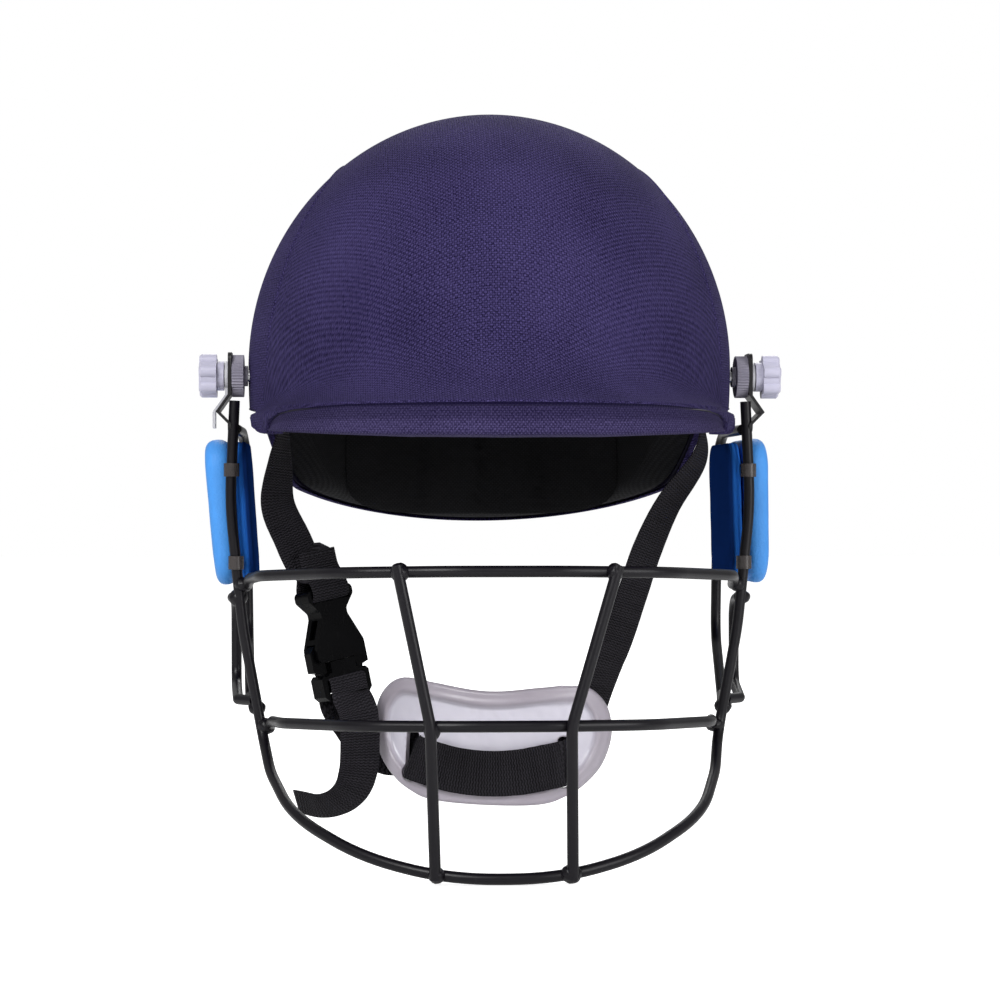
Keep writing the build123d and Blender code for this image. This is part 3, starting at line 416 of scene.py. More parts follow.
blueMoulding = mouldedFinish("blueMoulding", (0.070, 0.310, 0.800), 0.48, bump=1.6, vary=0.16, specular=0.25)
blackPlastic = mouldedFinish("blackPlastic", (0.0012, 0.0012, 0.0016), 0.28, grain=1100.0, bump=0.25,
                             specular=0.07, scuffed=0.05)


def makeCupFinish():
    # milky glossy moulding: the recess is paler and crinkled, the rim greyer
    look = {"rim": (0.330, 0.292, 0.340), "recess": (0.600, 0.580, 0.660), "patch": (0.68, 0.66, 0.73),
            "patches": 0.35, "rimGloss": 0.42, "recessGloss": 0.2}
    material, tree, inputs = startFinish("cupPlastic", 0.3)
    inner = pointValue(tree, "recess")
    texture = useGroup(tree, surfaceGrain, {"Scale": 420.0, "Mottle": 55.0})
    tint = blendColour(tree, inner, look["rim"], look["recess"])
    shade = blendColour(tree, times(tree, texture["Patch"], look["patches"]), tint, look["patch"])
    gloss = addNode(tree, "ShaderNodeMapRange", {"Value": inner, "To Min": look["rimGloss"],
                                                 "To Max": look["recessGloss"]})
    feed(tree, inputs, {"Base Color": shade, "Roughness": gloss.outputs[0], "Subsurface Weight": 0.35,
                        "Subsurface Radius": (0.008, 0.008, 0.009), "Coat Weight": 0.3,
                        "Coat Roughness": 0.15})
    addBump(tree, inputs, texture["Height"], 0.25)
    return material


def makeClipFinish():
    # translucent grey-brown moulding
    look = {"low": (0.055, 0.046, 0.046), "high": (0.110, 0.095, 0.092)}
    material, tree, inputs = startFinish("clipPlastic", 0.25)
    texture = useGroup(tree, surfaceGrain, {"Scale": 700.0, "Mottle": 90.0})
    feed(tree, inputs, {"Base Color": blendColour(tree, texture["Patch"], look["low"], look["high"]),
                        "Transmission Weight": 0.45, "IOR": 1.5})
    addBump(tree, inputs, texture["Height"], 0.1)
    return material


def makePanelFinish():
    # bright blue at the outer layers, and a darker blue on the face towards the cheek, painted there as the
    # shade that face lies in
    look = {"paintedShadeBlue": (0.006, 0.026, 0.130), "bright": (0.030, 0.200, 0.760), "patch": (0.010, 0.050, 0.250),
            "patches": 0.22, "brightFrom": 0.28, "brightTo": 0.46}
    material, tree, inputs = startFinish("bluePanel", 0.45)
    texture = useGroup(tree, surfaceGrain, {"Scale": 700.0, "Mottle": 60.0})
    share = addNode(tree, "ShaderNodeMapRange", {"Value": pointValue(tree, "layer"),
                                                 "From Min": look["brightFrom"],
                                                 "From Max": look["brightTo"]})
    tint = blendColour(tree, share.outputs[0], look["paintedShadeBlue"], look["bright"])
    shade = blendColour(tree, times(tree, texture["Patch"], look["patches"]), tint, look["patch"])
    feed(tree, inputs, {"Base Color": shade, "Specular IOR Level": 0.0})
    addBump(tree, inputs, texture["Height"], 0.8)
    return material


bluePanel = makePanelFinish()
cupPlastic = makeCupFinish()
clipPlastic = makeClipFinish()
print("finishes made")


# Camera, floor and light

def makeCamera():
    # a level camera, a little to the side, with the photograph's angle of view
    view = {"distance": 1.2, "turn": 2.8, "height": -0.060, "focal": 2620, "width": 1000, "shift": 0.011}
    camera = bpy.data.objects.new("camera", bpy.data.cameras.new("camera"))
    bpy.context.scene.collection.objects.link(camera)
    turn = radians(view["turn"])
    camera.location = (-view["distance"] * sin(turn), -view["distance"] * cos(turn), view["height"])
    camera.rotation_euler = (pi / 2, 0, -turn)
    camera.data.sensor_width = 36
    camera.data.lens = view["focal"] / view["width"] * camera.data.sensor_width
    camera.data.shift_x = view["shift"]
    camera.data.clip_end = 20
    bpy.context.scene.camera = camera


def makeFloor():
    # a pale floor that the camera sees as lit by itself
    look = {"half": 6.0, "below": 0.0006, "glow": 0.80, "pale": (0.92, 0.92, 0.92, 1)}
    floorPale, tree, inputs = startFinish("floorPale", 0.9)
    plain = tree.nodes["Principled BSDF"].outputs[0]
    light = addNode(tree, "ShaderNodeLightPath")
    glow = addNode(tree, "ShaderNodeEmission", {"Color": (1, 1, 1, 1), "Strength": look["glow"]})
    feed(tree, inputs, {"Base Color": look["pale"]})
    both = addNode(tree, "ShaderNodeAddShader", {0: plain, 1: glow.outputs[0]})
    mix = addNode(tree, "ShaderNodeMixShader",
                  {0: light.outputs["Is Camera Ray"], 1: plain, 2: both.outputs[0]})
    feed(tree, tree.nodes["Material Output"].inputs, {"Surface": mix.outputs[0]})
    half, low = look["half"], cadBounds[0][2] - look["below"]
    floor = meshPiece("floor", [(-half, -half, low), (half, -half, low), (half, half, low),
                                (-half, half, low)],
                      [(0, 1, 2, 3)], floorPale, smooth=False)


def makeLights():
    lamps = {
        "keyLamp": {"place": (-0.75, -1.35, 0.95), "power": 24.0, "size": 0.9},
        "fillLamp": {"place": (1.1, -1.1, 0.35), "power": 11.0, "size": 1.0},
        "rearLamp": {"place": (0.2, 1.3, 1.0), "power": 10.0, "size": 1.2},
    }
    aim = Vector((0, 0, -0.05))
    for name, lamp in lamps.items():
        data = bpy.data.lights.new(name, "AREA")
        data.energy = lamp["power"]
        data.shape = "DISK"
        data.size = lamp["size"]
        holder = bpy.data.objects.new(name, data)
        bpy.context.scene.collection.objects.link(holder)
        holder.location = lamp["place"]
        holder.rotation_euler = (aim - holder.location).to_track_quat("-Z", "Y").to_euler()


def makeSky():
    # white to the camera, weaker as a light
    world = bpy.data.worlds.new("world")
    bpy.context.scene.world = world
    world.use_nodes = True
    tree = world.node_tree
    path = addNode(tree, "ShaderNodeLightPath").outputs
    seen = calc(tree, "MAXIMUM", path["Is Camera Ray"], path["Is Transmission Ray"])
    strength = addNode(tree, "ShaderNodeMix", {0: seen, 2: 0.36, 3: 1.0})
    feed(tree, tree.nodes["Background"].inputs, {"Color": (1, 1, 1, 1), "Strength": strength.outputs[0]})
    bpy.context.scene.view_settings.view_transform = "Standard"


makeCamera()
makeFloor()
makeLights()
makeSky()
print("stage set")


# The shell's form, as the solids have it

shellForm = {"halfWidth": 0.1089, "front": 0.1202, "rear": 0.1312, "crown": 0.1144, "tuck": 0.190,
             "cloth": 0.0008, "wall": 0.0030, "liner": 0.0150, "gap": 0.0003, "rimSoft": 0.007}
peakForm = {"reach": 0.1442, "back": 0.0200, "halfWidth": 0.1076, "drop": 0.0225, "sweep": 0.0777,
            "slope": 18.0,
            "rootHeight": 0.0160, "soften": 0.0110, "lipHeight": 0.0146, "ahead": -0.0200, "lastTurn": 79.5}
rimKnots = ((-0.300, -0.045, -0.032, 0.035, 0.060, 0.1312, 0.160),
            (-0.0270, -0.0270, -0.0180, -0.0180, -0.0520, -0.0715, -0.0794))


def rimHeight(y):
    # the rim line seen from the side, with soft corners
    spread = np.linspace(-shellForm["rimSoft"], shellForm["rimSoft"], 15)
    return np.mean([np.interp(y + shift, *rimKnots) for shift in spread], axis=0)


def domeSize(y, z, grow):
    # half length and half height of the dome's quarter that a place lies in
    length = np.where(y < 0, shellForm["front"], shellForm["rear"]) + grow
    return length, np.where(z > 0, shellForm["crown"], shellForm["tuck"]) + grow


def domeReach(d, grow):
    # distance from the origin to the dome along unit directions
    width = shellForm["halfWidth"] + grow
    length, height = domeSize(d[..., 1], d[..., 2], grow)
    return 1 / np.sqrt((d[..., 0] / width) ** 2 + (d[..., 1] / length) ** 2 + (d[..., 2] / height) ** 2)


def peakReach(d, grow):
    # distance to the peak's swept upper surface, or none where there is no peak
    walk = {"from": 0.085, "to": 0.200, "step": 0.00035, "sink": 0.55, "sinkMore": 20, "ahead": -0.03}
    slope = radians(peakForm["slope"])
    centreR = peakForm["reach"] + sin(slope) * peakForm["sweep"]
    centreZ = -peakForm["drop"] + cos(slope) * peakForm["sweep"]
    squeeze = peakForm["halfWidth"] / peakForm["reach"]
    found = np.full(d.shape[:-1], np.nan)
    before = None
    for t in np.arange(walk["from"], walk["to"], walk["step"]):
        r = np.hypot(t * d[..., 0] / squeeze, t * d[..., 1] + peakForm["back"])
        f = np.hypot(r - centreR, t * d[..., 2] - centreZ) - (peakForm["sweep"] - grow)
        if before is not None:
            hit = np.isnan(found) & (before > 0) & (f <= 0)
            found = np.where(hit, t - (t - lastT) * (-f) / np.maximum(before - f, 1e-9), found)
        before, lastT = f, t
    rise = np.maximum(found * d[..., 2] - peakForm["rootHeight"], 0)
    found = found - rise * walk["sink"] - rise ** 2 * walk["sinkMore"]
    return np.where(np.isnan(found) | (d[..., 1] > walk["ahead"]), -1.0, found)


def coverReach(d, grow=shellForm["cloth"]):
    # dome and peak joined by a soft sweep, which fades out towards the sides
    dome, peak = domeReach(d, grow), peakReach(d, grow)
    front = np.clip((-d[..., 1] / np.maximum(np.hypot(d[..., 0], d[..., 1]), 1e-9) - 0.15) / 0.6, 0, 1)
    soften = np.maximum(peakForm["soften"] * front, 1e-5)
    near = np.maximum(soften - np.abs(dome - peak), 0) / soften
    return np.maximum(dome, peak) + near ** 2 * soften / 4


def heading(azimuth, rise):
    return np.stack([np.sin(azimuth) * np.cos(rise), -np.cos(azimuth) * np.cos(rise), np.sin(rise)], axis=-1)


def bottomRise(azimuth, reach, height):
    # the elevation at which each column meets its lowest height
    rise = np.full(azimuth.shape, -0.1)
    for _ in range(14):
        d = heading(azimuth, rise)
        place = d * reach(d)[..., None]
        flat = np.hypot(place[..., 0], place[..., 1])
        rise = 0.4 * rise + 0.6 * np.arctan2(height(place), flat)
    return rise


def risingRows(azimuth, low, count, crowding=1.0):
    # rows of directions from each column's lowest elevation up to just below the crown
    share = np.linspace(0, 1, count + 1)[:-1] ** crowding
    rise = low[None, :] + (pi / 2 - low[None, :]) * share[:, None]
    return heading(np.broadcast_to(azimuth, rise.shape), rise)


# Cloth cover

def sidePanelWidth(turn):
    # how far the seam lies from the middle, by the turn from the front edge over the crown to the nape
    knots = [radians(k) for k in (-15, 18, 50, 75, 95, 130, 165, 205)]
    widths = [0.1010, 0.0990, 0.0890, 0.0700, 0.0640, 0.0630, 0.0680, 0.0720]
    return np.interp(turn, knots, widths)


def clothUv(place, arc):
    # flat pattern places: a middle panel and two side panels
    roll = 0.112
    turn = np.arctan2(place[:, 2], -place[:, 1])
    turn = np.where(turn < -pi / 2, turn + 2 * pi, turn)
    middle = np.stack([roll * np.arcsin(np.clip(place[:, 0] / roll, -1, 1)), arc], axis=1)
    side = np.stack([place[:, 1], place[:, 2]], axis=1)
    return middle, side, np.abs(place[:, 0]) > sidePanelWidth(turn)


def peakTurn(x, y):
    # how far round the peak's front a place lies, in degrees from its middle
    squeeze = peakForm["halfWidth"] / peakForm["reach"]
    return np.degrees(np.abs(np.arctan2(x / squeeze, -(y + peakForm["back"]))))


def hemHeight(turn):
    # the cover's lower edge over the lip, and where it wraps round the lip's ends
    knots = (0, 37, 47, 54, 59.6, 64, 66.3, 67.3, 69, 73, 79.5)
    heights = (-0.0214, -0.0214, -0.0219, -0.0226, -0.0235, -0.0256, -0.0278, -0.0312, -0.0318, -0.0310,
               -0.0281)
    return np.interp(turn, knots, heights)


def hemProfile(turn, drop, isPeak):
    # how the cloth turns under the edge: rows of (outward, down) for each column
    wrap = isPeak * np.clip((turn - 64) / 4, 0, 1)
    bulge = 0.0003 + 0.0006 * wrap
    inwards = np.where(isPeak > 0, 0.0012 + 0.006 * wrap, 0.0030)
    rows = ((0.5, 0.20, 0.0), (1.0, 0.45, 0.0), (0.8, 0.72, 0.04), (0.1, 0.90, 0.12), (-0.4, 0.98, 0.30),
            (-0.6, 1.00, 0.52), (-0.6, 0.96, 0.76), (-0.6, 0.85, 0.94), (-0.6, 0.65, 1.0))
    return [(bulge * out - inwards * inn, drop * down) for out, down, inn in rows]


def overShell(place, tree):
    # moves places near the peak's edge out of the plastic shell, by the cloth's thickness
    sizes = {"top": -0.0185, "far": 0.3, "deepest": 0.008}
    moved = place.copy()
    for spot in moved.reshape(-1, 3):
        if spot[2] > sizes["top"] or spot[1] > peakForm["ahead"]:
            continue
        flat = np.hypot(spot[0], spot[1])
        outward = Vector((spot[0] / flat, spot[1] / flat, 0))
        hit = tree.ray_cast(outward * sizes["far"] + Vector((0, 0, spot[2])), -outward)[0]
        if hit is None:
            continue
        clear = np.hypot(hit.x, hit.y) + shellForm["cloth"]
        if flat < clear < flat + sizes["deepest"]:
            spot[:2] *= clear / flat
    return moved


def coverRows(azimuth):
    # rows of the cover from the turned-in hem to just below the crown
    sizes = {"rows": 104, "crowding": 1.25, "peakEdge": -0.0202, "shellEdge": -0.0254, "flare": 0.0018,
             "flareTop": -0.0160, "flareTurn": 67.0, "flareFade": 6, "flareAhead": -0.03, "roll": 0.0008,
             "skirt": 8, "leastFall": 0.0004, "drawnIn": 0.25}

    def plainEdge(place):
        rim = rimHeight(place[..., 1])
        return np.where(place[..., 1] < peakForm["ahead"], np.maximum(rim, sizes["peakEdge"]), rim)

    shell = surfaceTree(nodes["outer_shell"].data)
    d = risingRows(azimuth, bottomRise(azimuth, coverReach, plainEdge), sizes["rows"], sizes["crowding"])
    place = d * coverReach(d)[..., None]
    overLip = np.clip((sizes["flareTurn"] - peakTurn(place[..., 0], place[..., 1])) / sizes["flareFade"], 0,
                      1)
    overLip = overLip * (place[..., 1] < sizes["flareAhead"])
    flare = np.clip((sizes["flareTop"] - place[..., 2]) / (sizes["flareTop"] - sizes["peakEdge"]), 0, 1)
    push = sizes["flare"] * overLip * flare ** 2
    place[..., :2] *= (1 + push / np.maximum(np.hypot(place[..., 0], place[..., 1]), 1e-6))[..., None]
    place = overShell(place, shell)
    turn = peakTurn(place[0][:, 0], place[0][:, 1])
    isPeak = ((place[0][:, 1] < peakForm["ahead"]) & (turn < peakForm["lastTurn"])).astype(float)
    hemline = np.where(isPeak > 0, hemHeight(turn), rimHeight(place[0][:, 1]) - sizes["roll"])
    fall = np.maximum(place[0][:, 2] - sizes["roll"] - hemline, sizes["leastFall"])
    skirt = [place[0]]
    for _ in range(sizes["skirt"]):
        lower = skirt[-1].copy()
        lower[:, 2] -= fall / sizes["skirt"]
        drawnIn = np.where(lower[:, 2] < sizes["shellEdge"], fall / sizes["skirt"] * sizes["drawnIn"], 0.0)
        lower[:, :2] *= (1 - drawnIn / np.hypot(lower[:, 0], lower[:, 1]))[:, None]
        skirt.append(overShell(lower, shell))
    bottom = skirt[-1]
    along = np.roll(bottom, -1, axis=0) - np.roll(bottom, 1, axis=0)
    outward = unitRows(np.stack([along[:, 1], -along[:, 0], np.zeros(len(along))], axis=1))
    hem = [bottom + outward * out[:, None] + np.array([0, 0, -1.0]) * down[:, None]
           for out, down in hemProfile(turn, np.full(turn.shape, sizes["roll"]), isPeak)]
    return hem[::-1] + skirt[:0:-1] + list(place)


def makeCover():
    count, thickness = 360, 0.0006
    azimuth = np.linspace(-pi, pi, count, endpoint=False)
    rows = coverRows(azimuth)
    points = np.concatenate([*rows, [[0, 0, shellForm["crown"] + shellForm["cloth"]]]])
    top = (len(rows) - 1) * count
    faces = tubeFaces(len(rows), count)
    faces += [(top + k, top + (k + 1) % count, top + count) for k in range(count)]
    arcs = np.linalg.norm(np.diff(np.array(rows), axis=0), axis=2)
    fromCrown = np.concatenate([np.cumsum(arcs[::-1], axis=0)[::-1], np.zeros((1, count))])
    arc = (fromCrown * np.cos(azimuth)[None, :]).reshape(-1)
    piece = meshPiece("clothCover", points, faces, navyCloth)
    middle, side, onSide = clothUv(points, np.append(arc, 0.0))

    def pick(corners):
        pattern = side if np.mean(onSide[corners]) > 0.5 else middle
        return [pattern[c] for c in corners]

    writeUv(piece, pick)
    face = piece.data.polygons[len(faces) // 2]
    if face.normal.dot(face.center) < 0:
        piece.data.flip_normals()
    wall = piece.modifiers.new("wall", "SOLIDIFY")
    wall.thickness = thickness
    wall.offset = -1
    bakeModifiers(piece)
    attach(piece, "helmet")
    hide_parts("cloth_cover")
    print("cover:", len(piece.data.polygons), "faces")
    return piece


def seamLine(side):
    # the seam's line over the cover, found column by column, and cut off at the hem
    sizes = {"from": -9, "to": 206, "steps": 260, "smooth": 19, "lean": 0.8, "peakEnd": -0.0215,
             "overRim": 0.0005}
    turn = np.linspace(radians(sizes["from"]), radians(sizes["to"]), sizes["steps"])
    target = sidePanelWidth(turn)
    for _ in range(3):
        padded = np.pad(target, sizes["smooth"] // 2, mode="edge")
        target = np.convolve(padded, np.ones(sizes["smooth"]) / sizes["smooth"], mode="valid")
    lean = np.full(turn.shape, sizes["lean"])
    for _ in range(16):
        d = np.stack([side * np.sin(lean), -np.cos(turn) * np.cos(lean), np.sin(turn) * np.cos(lean)], axis=1)
        reach = coverReach(d)
        lean = 0.4 * lean + 0.6 * np.arcsin(np.clip(target / reach, 0, 0.995))
    line = d * reach[:, None]
    rim = rimHeight(line[:, 1]) + sizes["overRim"]
    return line[line[:, 2] > np.where(line[:, 1] < peakForm["ahead"], sizes["peakEnd"], rim)]


def makeSeams(cover):
    # the two felled seams between the middle panel and the side panels
    sizes = {"width": 0.0026, "height": 0.00055, "endHeight": 0.25, "endRate": 6, "patternStep": 0.0006}
    profile = ((-0.5, -0.5), (-0.42, 0.35), (-0.2, 0.9), (0.1, 1.0), (0.3, 0.45), (0.5, 0.25), (0.52, -0.5))
    around = len(profile)
    for side, word in ((-1, "Right"), (1, "Left")):
        line = seamLine(side)
        count = len(line)
        along = unitRows(np.gradient(line, axis=0))
        length, height = domeSize(line[:, 1], line[:, 2], 0.0)
        out = unitRows(line / np.stack([np.full(count, shellForm["halfWidth"]), length, height], axis=1) ** 2)
        across = np.cross(along, out)
        out = np.cross(across, along)
        points = []
        for k in range(count):
            fade = min(1.0,
                       *(sizes["endRate"] * far / count + sizes["endHeight"] for far in (k, count - 1 - k)))
            for u, h in profile:
                lift = h * sizes["height"] * fade
                points.append(line[k] + across[k] * u * side * sizes["width"] + out[k] * lift)
        piece = meshPiece(f"coverSeam{word}", points, cappedTube(count, around), navyCloth)
        faceOutwards(piece)
        run = runAlong(line)
        writeUv(piece,
                lambda corners: [(sizes["patternStep"] * (c % around), run[c // around]) for c in corners])
        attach(piece, "helmet")
    print("seams made")


# Lip under the peak

def makeLip():
    # the padded lip under the peak's edge: deepest in the middle, drawn in to a point at both ends
    # each knot is a place out from the peak's line and a share of the height from the bottom to the top
    sizes = {"ends": 67.0, "columns": 190, "tuckedUp": 0.0012, "closeFrom": 52, "closePast": 0.1,
             "swell": 0.0003, "swellTop": 0.6, "core": -0.012, "endWidth": 0.75, "ringStep": 0.0009}
    reach, height = peakForm["reach"], peakForm["lipHeight"]
    squeeze = peakForm["halfWidth"] / reach
    knots = ((-0.0030, 1.00), (-0.0018, 0.93), (-0.0011, 0.89), (-0.0004, 0.86), (0.0003, 0.81),
             (0.0005, 0.70),
             (0.0003, 0.58), (0.0003, 0.46), (0.0007, 0.34), (0.0013, 0.23), (0.0016, 0.14), (0.0010, 0.06),
             (-0.0008, 0.015), (-0.0050, 0.0), (-0.0120, 0.0), (-0.0220, 0.0), (-0.0300, 0.04),
             (-0.0335, 0.20),
             (-0.0338, 0.60), (-0.0330, 0.96), (-0.0260, 1.00), (-0.0140, 1.00), (-0.0060, 1.00))
    under = ((0, 25, 45, 57, 64, 67), (-0.0348, -0.0343, -0.0328, -0.0316, -0.0309, -0.0304))
    # painted shade: by share of the lip's height, the upper band is darkened as the shade under the cover's
    # edge, and the top rows go black as a painted shadow line below the hem
    paintedShadeByHeight = ((0, 0.40, 0.52, 0.84, 0.868, 1.0), (1.0, 1.0, 0.66, 0.56, 0.0, 0.0))
    ring = smoothPath([(out, share * height, 0.0) for out, share in (*knots, knots[0])],
                      sizes["ringStep"])[:-1]
    girth = runAlong(ring)
    points, pattern, paintedShade = [], [], []
    angles = np.radians(np.linspace(-sizes["ends"], sizes["ends"], sizes["columns"]))
    span = sizes["ends"] + sizes["closePast"] - sizes["closeFrom"]
    for b in angles:
        turn = np.degrees(abs(b))
        close = sqrt(max(1 - np.clip((turn - sizes["closeFrom"]) / span, 0, 1) ** 2, 0.0))
        width = sizes["endWidth"] + (1 - sizes["endWidth"]) * close
        swell = sizes["swell"] * sin(7 * b) * sin(3.1 * b + 1)
        low, high = np.interp(turn, *under), hemHeight(turn) + sizes["tuckedUp"] * close
        for k, (out, up, _) in enumerate(ring):
            out = sizes["core"] + (out - sizes["core"]) * width
            r = reach + out + (swell if up < sizes["swellTop"] * height else 0.0)
            points.append((squeeze * r * sin(b), -peakForm["back"] - r * cos(b),
                           low + (high - low) * up / height))
            pattern.append((reach * b, girth[k]))
            paintedShade.append(np.interp(up / height, *paintedShadeByHeight))
    piece = meshPiece("peakLip", points, cappedTube(len(angles), len(ring)), lipCloth)
    writePointValues(piece, "paintedShade", paintedShade)
    faceOutwards(piece)
    writeUv(piece, lambda corners: [pattern[c] for c in corners])
    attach(piece, "helmet")
    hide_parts("peak_lip")
    print("lip made")


# Foam liner and pads

def makeLiner():
    # thick foam liner under its knit skin, hollowed where the straps hang
    sizes = {"columns": 220, "rows": 46, "recess": 0.0008, "strapFront": -0.054, "strapRear": -0.011,
             "strapTop": 0.008, "soft": 0.003, "strapSide": 0.04, "behindStrap": 0.0014, "innerEdge": 0.0012,
             "edgeDrop": 0.0026, "patternRadius": 0.09}
    outerGrow = -(shellForm["wall"] + shellForm["gap"])
    innerGrow = outerGrow - shellForm["liner"]
    count = sizes["columns"]
    azimuth = np.linspace(-pi, pi, count, endpoint=False)

    def hollow(place):
        y, z = place[..., 1], place[..., 2]
        depths = (y - sizes["strapFront"], sizes["strapRear"] - y, sizes["strapTop"] - z)
        front, rear, top = (np.clip(depth / sizes["soft"] + 0.5, 0, 1) for depth in depths)
        return np.where(np.abs(place[..., 0]) > sizes["strapSide"], front * rear * top, 0)

    layers = []
    for grow, isInner in ((innerGrow, True), (outerGrow, False)):
        above = sizes["innerEdge"] if isInner else 0.0
        low = bottomRise(azimuth, lambda d: domeReach(d, grow),
                         lambda place: rimHeight(place[..., 1]) + sizes["recess"] + above)
        d = risingRows(azimuth, low, sizes["rows"])
        reach = domeReach(d, grow)
        if isInner:
            share = hollow(d * reach[..., None])
            reach = reach + (domeReach(d, outerGrow - sizes["behindStrap"]) - reach) * share
        layers.append(d * reach[..., None])
    inner, outer = layers
    edge = [inner[0] * (1 - t) + outer[0] * t - np.array([0, 0, sizes["edgeDrop"]]) * sin(pi * t) ** 0.35
            for t in (0.12, 0.35, 0.65, 0.88)]
    rows = [*inner[::-1], *edge, *outer]
    points = np.concatenate([[(0, 0, shellForm["crown"] + innerGrow)], *rows,
                             [(0, 0, shellForm["crown"] + outerGrow)]])
    last = 1 + (len(rows) - 1) * count
    faces = [tuple(v + 1 for v in f) for f in tubeFaces(len(rows), count)]
    faces += [(0, 1 + (k + 1) % count, 1 + k) for k in range(count)]
    faces += [(last + k, last + (k + 1) % count, len(points) - 1) for k in range(count)]
    piece = meshPiece("foamLiner", points, faces, liningKnit)
    faceOutwards(piece)
    pattern = [(sizes["patternRadius"] * atan2(x, -y + 1e-6), z) for x, y, z in points]
    writeUv(piece, lambda corners: [pattern[c] for c in corners])
    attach(piece, "helmet")
    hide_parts("foam_liner")
    print("liner made")


sidePad = {"edge": 5, "half": (0.031, 0.022), "middle": (0.0105, 0.0056), "thickness": 0.010,
           "channels": (0.0,)}
padTable = {
    "browPad": {"edge": 5, "node": "brow_pad", "face": "front", "half": (0.062, 0.018),
                "middle": (0.0, -0.0074),
                "thickness": 0.008, "channels": (-0.031, 0.0, 0.031)},
    "rearPad": {"edge": 2.4, "node": "rear_pad", "face": "rear", "half": (0.066, 0.031),
                "middle": (0.0, -0.0357),
                "thickness": 0.008, "channels": (-0.030, 0.0, 0.030)},
    "crownPad": {"edge": 5, "node": "crown_pad", "face": "top", "half": (0.046, 0.046), "middle": (0.0, 0.0),
                 "thickness": 0.008, "channels": (-0.016, 0.016)},
    "leftSidePad": {"node": "left_side_pad", "face": "left", **sidePad},
    "rightSidePad": {"node": "right_side_pad", "face": "right", **sidePad},
}


def padPlace(face, u, v, grow):
    # a place on the dome's inside, from two coordinates seen along its own axis
    width = shellForm["halfWidth"] + grow
    y, z = {"front": (-1, v), "rear": (1, v), "top": (v, 1)}.get(face, (u, v))
    length, height = (float(size) for size in domeSize(y, z, grow))
    halves = {"front": (width, height), "rear": (width, height), "top": (width, length)}.get(face,
                                                                                             (length, height))
    level = sqrt(max(1 - (u / halves[0]) ** 2 - (v / halves[1]) ** 2, 0.0))
    if face in ("front", "rear"):
        return (u, -length * level if face == "front" else length * level, v)
    if face == "top":
        return (u, v, height * level)
    return (width * level if face == "left" else -width * level, u, v)


def makePads():
    sizes = {"rings": 26, "spokes": 88, "crowding": 1.6, "crown": 0.75, "flat": 0.80, "channelDepth": 0.28,
             "channelWidth": 0.0022, "ripple": 0.02, "rippleScale": 60, "middle": 0.9}
    base = -(shellForm["wall"] + 2 * shellForm["gap"] + shellForm["liner"])
    rings, spokes = sizes["rings"], sizes["spokes"]
    for name, pad in padTable.items():
        points, pattern = [], []
        for layer, out, spoke in discPlaces(rings, spokes, sizes["crowding"]):
            turn = 2 * pi * spoke / spokes
            size = squareReach(turn)
            du = out * size * cos(turn) * pad["half"][0]
            dv = out * size * sin(turn) * pad["half"][1]
            u, v = pad["middle"][0] + du, pad["middle"][1] + dv
            depth = 0.0
            if layer:
                soft = sizes["flat"] + (1 - sizes["flat"]) * (1 - out ** 2)
                for channel in pad["channels"]:
                    dip = np.exp(-((du - channel) / sizes["channelWidth"]) ** 2) * (1 - out ** 8)
                    soft -= sizes["channelDepth"] * dip
                bumps = noise.noise(Vector((u * sizes["rippleScale"], v * sizes["rippleScale"], 3.0)))
                crown = (1 - out ** pad["edge"]) ** sizes["crown"]
                depth = pad["thickness"] * crown * (soft + sizes["ripple"] * bumps)
            points.append(padPlace(pad["face"], u, v, base - depth))
            pattern.append((u, v))
        for depth in (0.0, pad["thickness"] * sizes["middle"]):
            points.append(padPlace(pad["face"], *pad["middle"], base - depth))
            pattern.append(pad["middle"])
        piece = meshPiece(name, points, discFaces(rings, spokes), liningKnit)
        faceOutwards(piece)
        writeUv(piece, lambda corners: [pattern[c] for c in corners])
        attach(piece, "helmet")
        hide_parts(pad["node"])
    print("pads made")


# Chin strap webbing

strapForm = {"anchorX": 0.0940, "anchorForward": 0.0340, "anchorDrop": 0.0120, "drop": 0.1500,
             "width": 0.0200,
             "thickness": 0.0014, "ribPitch": 0.0014}
buckleForm = {"lean": 11.5, "turn": 38.0, "mouth": (-0.738, 0.0, 0.79), "socket": 0.0320, "thickness": 0.0100,
              "plugBase": 0.0170, "plugThickness": 0.0084, "slots": (0.5, 0.8)}
cupForm = {"width": 0.1070, "height": 0.0550, "wall": 0.0026, "bend": 0.0800, "drop": 0.1675,
           "forward": 0.0500,
           "shift": 0.0100, "turn": 10.0, "roll": 2.0, "rim": 0.0070, "recess": 0.0024, "slotLength": 0.0226,
           "slotDrop": 0.0076, "slotWidth": 0.0068, "slotAngle": 26.0}
cupPlace = (Matrix.Translation((cupForm["shift"], -cupForm["forward"] + cupForm["bend"], -cupForm["drop"]))
            @ Matrix.Rotation(radians(cupForm["roll"]), 4, "Y") @ Matrix.Rotation(radians(-cupForm["turn"]),
                                                                                  4, "Z"))


def strapPoint(across, back, down):
    return Vector((across * strapForm["anchorX"], -strapForm["anchorForward"] + back * mm,
                   -strapForm["anchorDrop"] - down * strapForm["drop"]))


def cupPoint(angle, behind, height):
    reach = cupForm["bend"] - behind * mm
    return cupPlace @ Vector((reach * sin(radians(angle)), -reach * cos(radians(angle)),
                              height * mm - cupForm["slotDrop"]))


buckleUp = Vector((-sin(radians(buckleForm["lean"])), 0, cos(radians(buckleForm["lean"]))))
buckleFace = Matrix.Rotation(radians(buckleForm["turn"]), 3, buckleUp) @ Vector((0, -1, 0))
buckleAcross = buckleUp.cross(buckleFace)
buckleMouth = strapPoint(*buckleForm["mouth"])


def bucklePoint(across, up, out=0.0):
    return buckleMouth + buckleAcross * across + buckleUp * up + buckleFace * out


def strapRoute(places, turns):
    return [(strapPoint(*place), turn) for place, turn in zip(places, turns)]


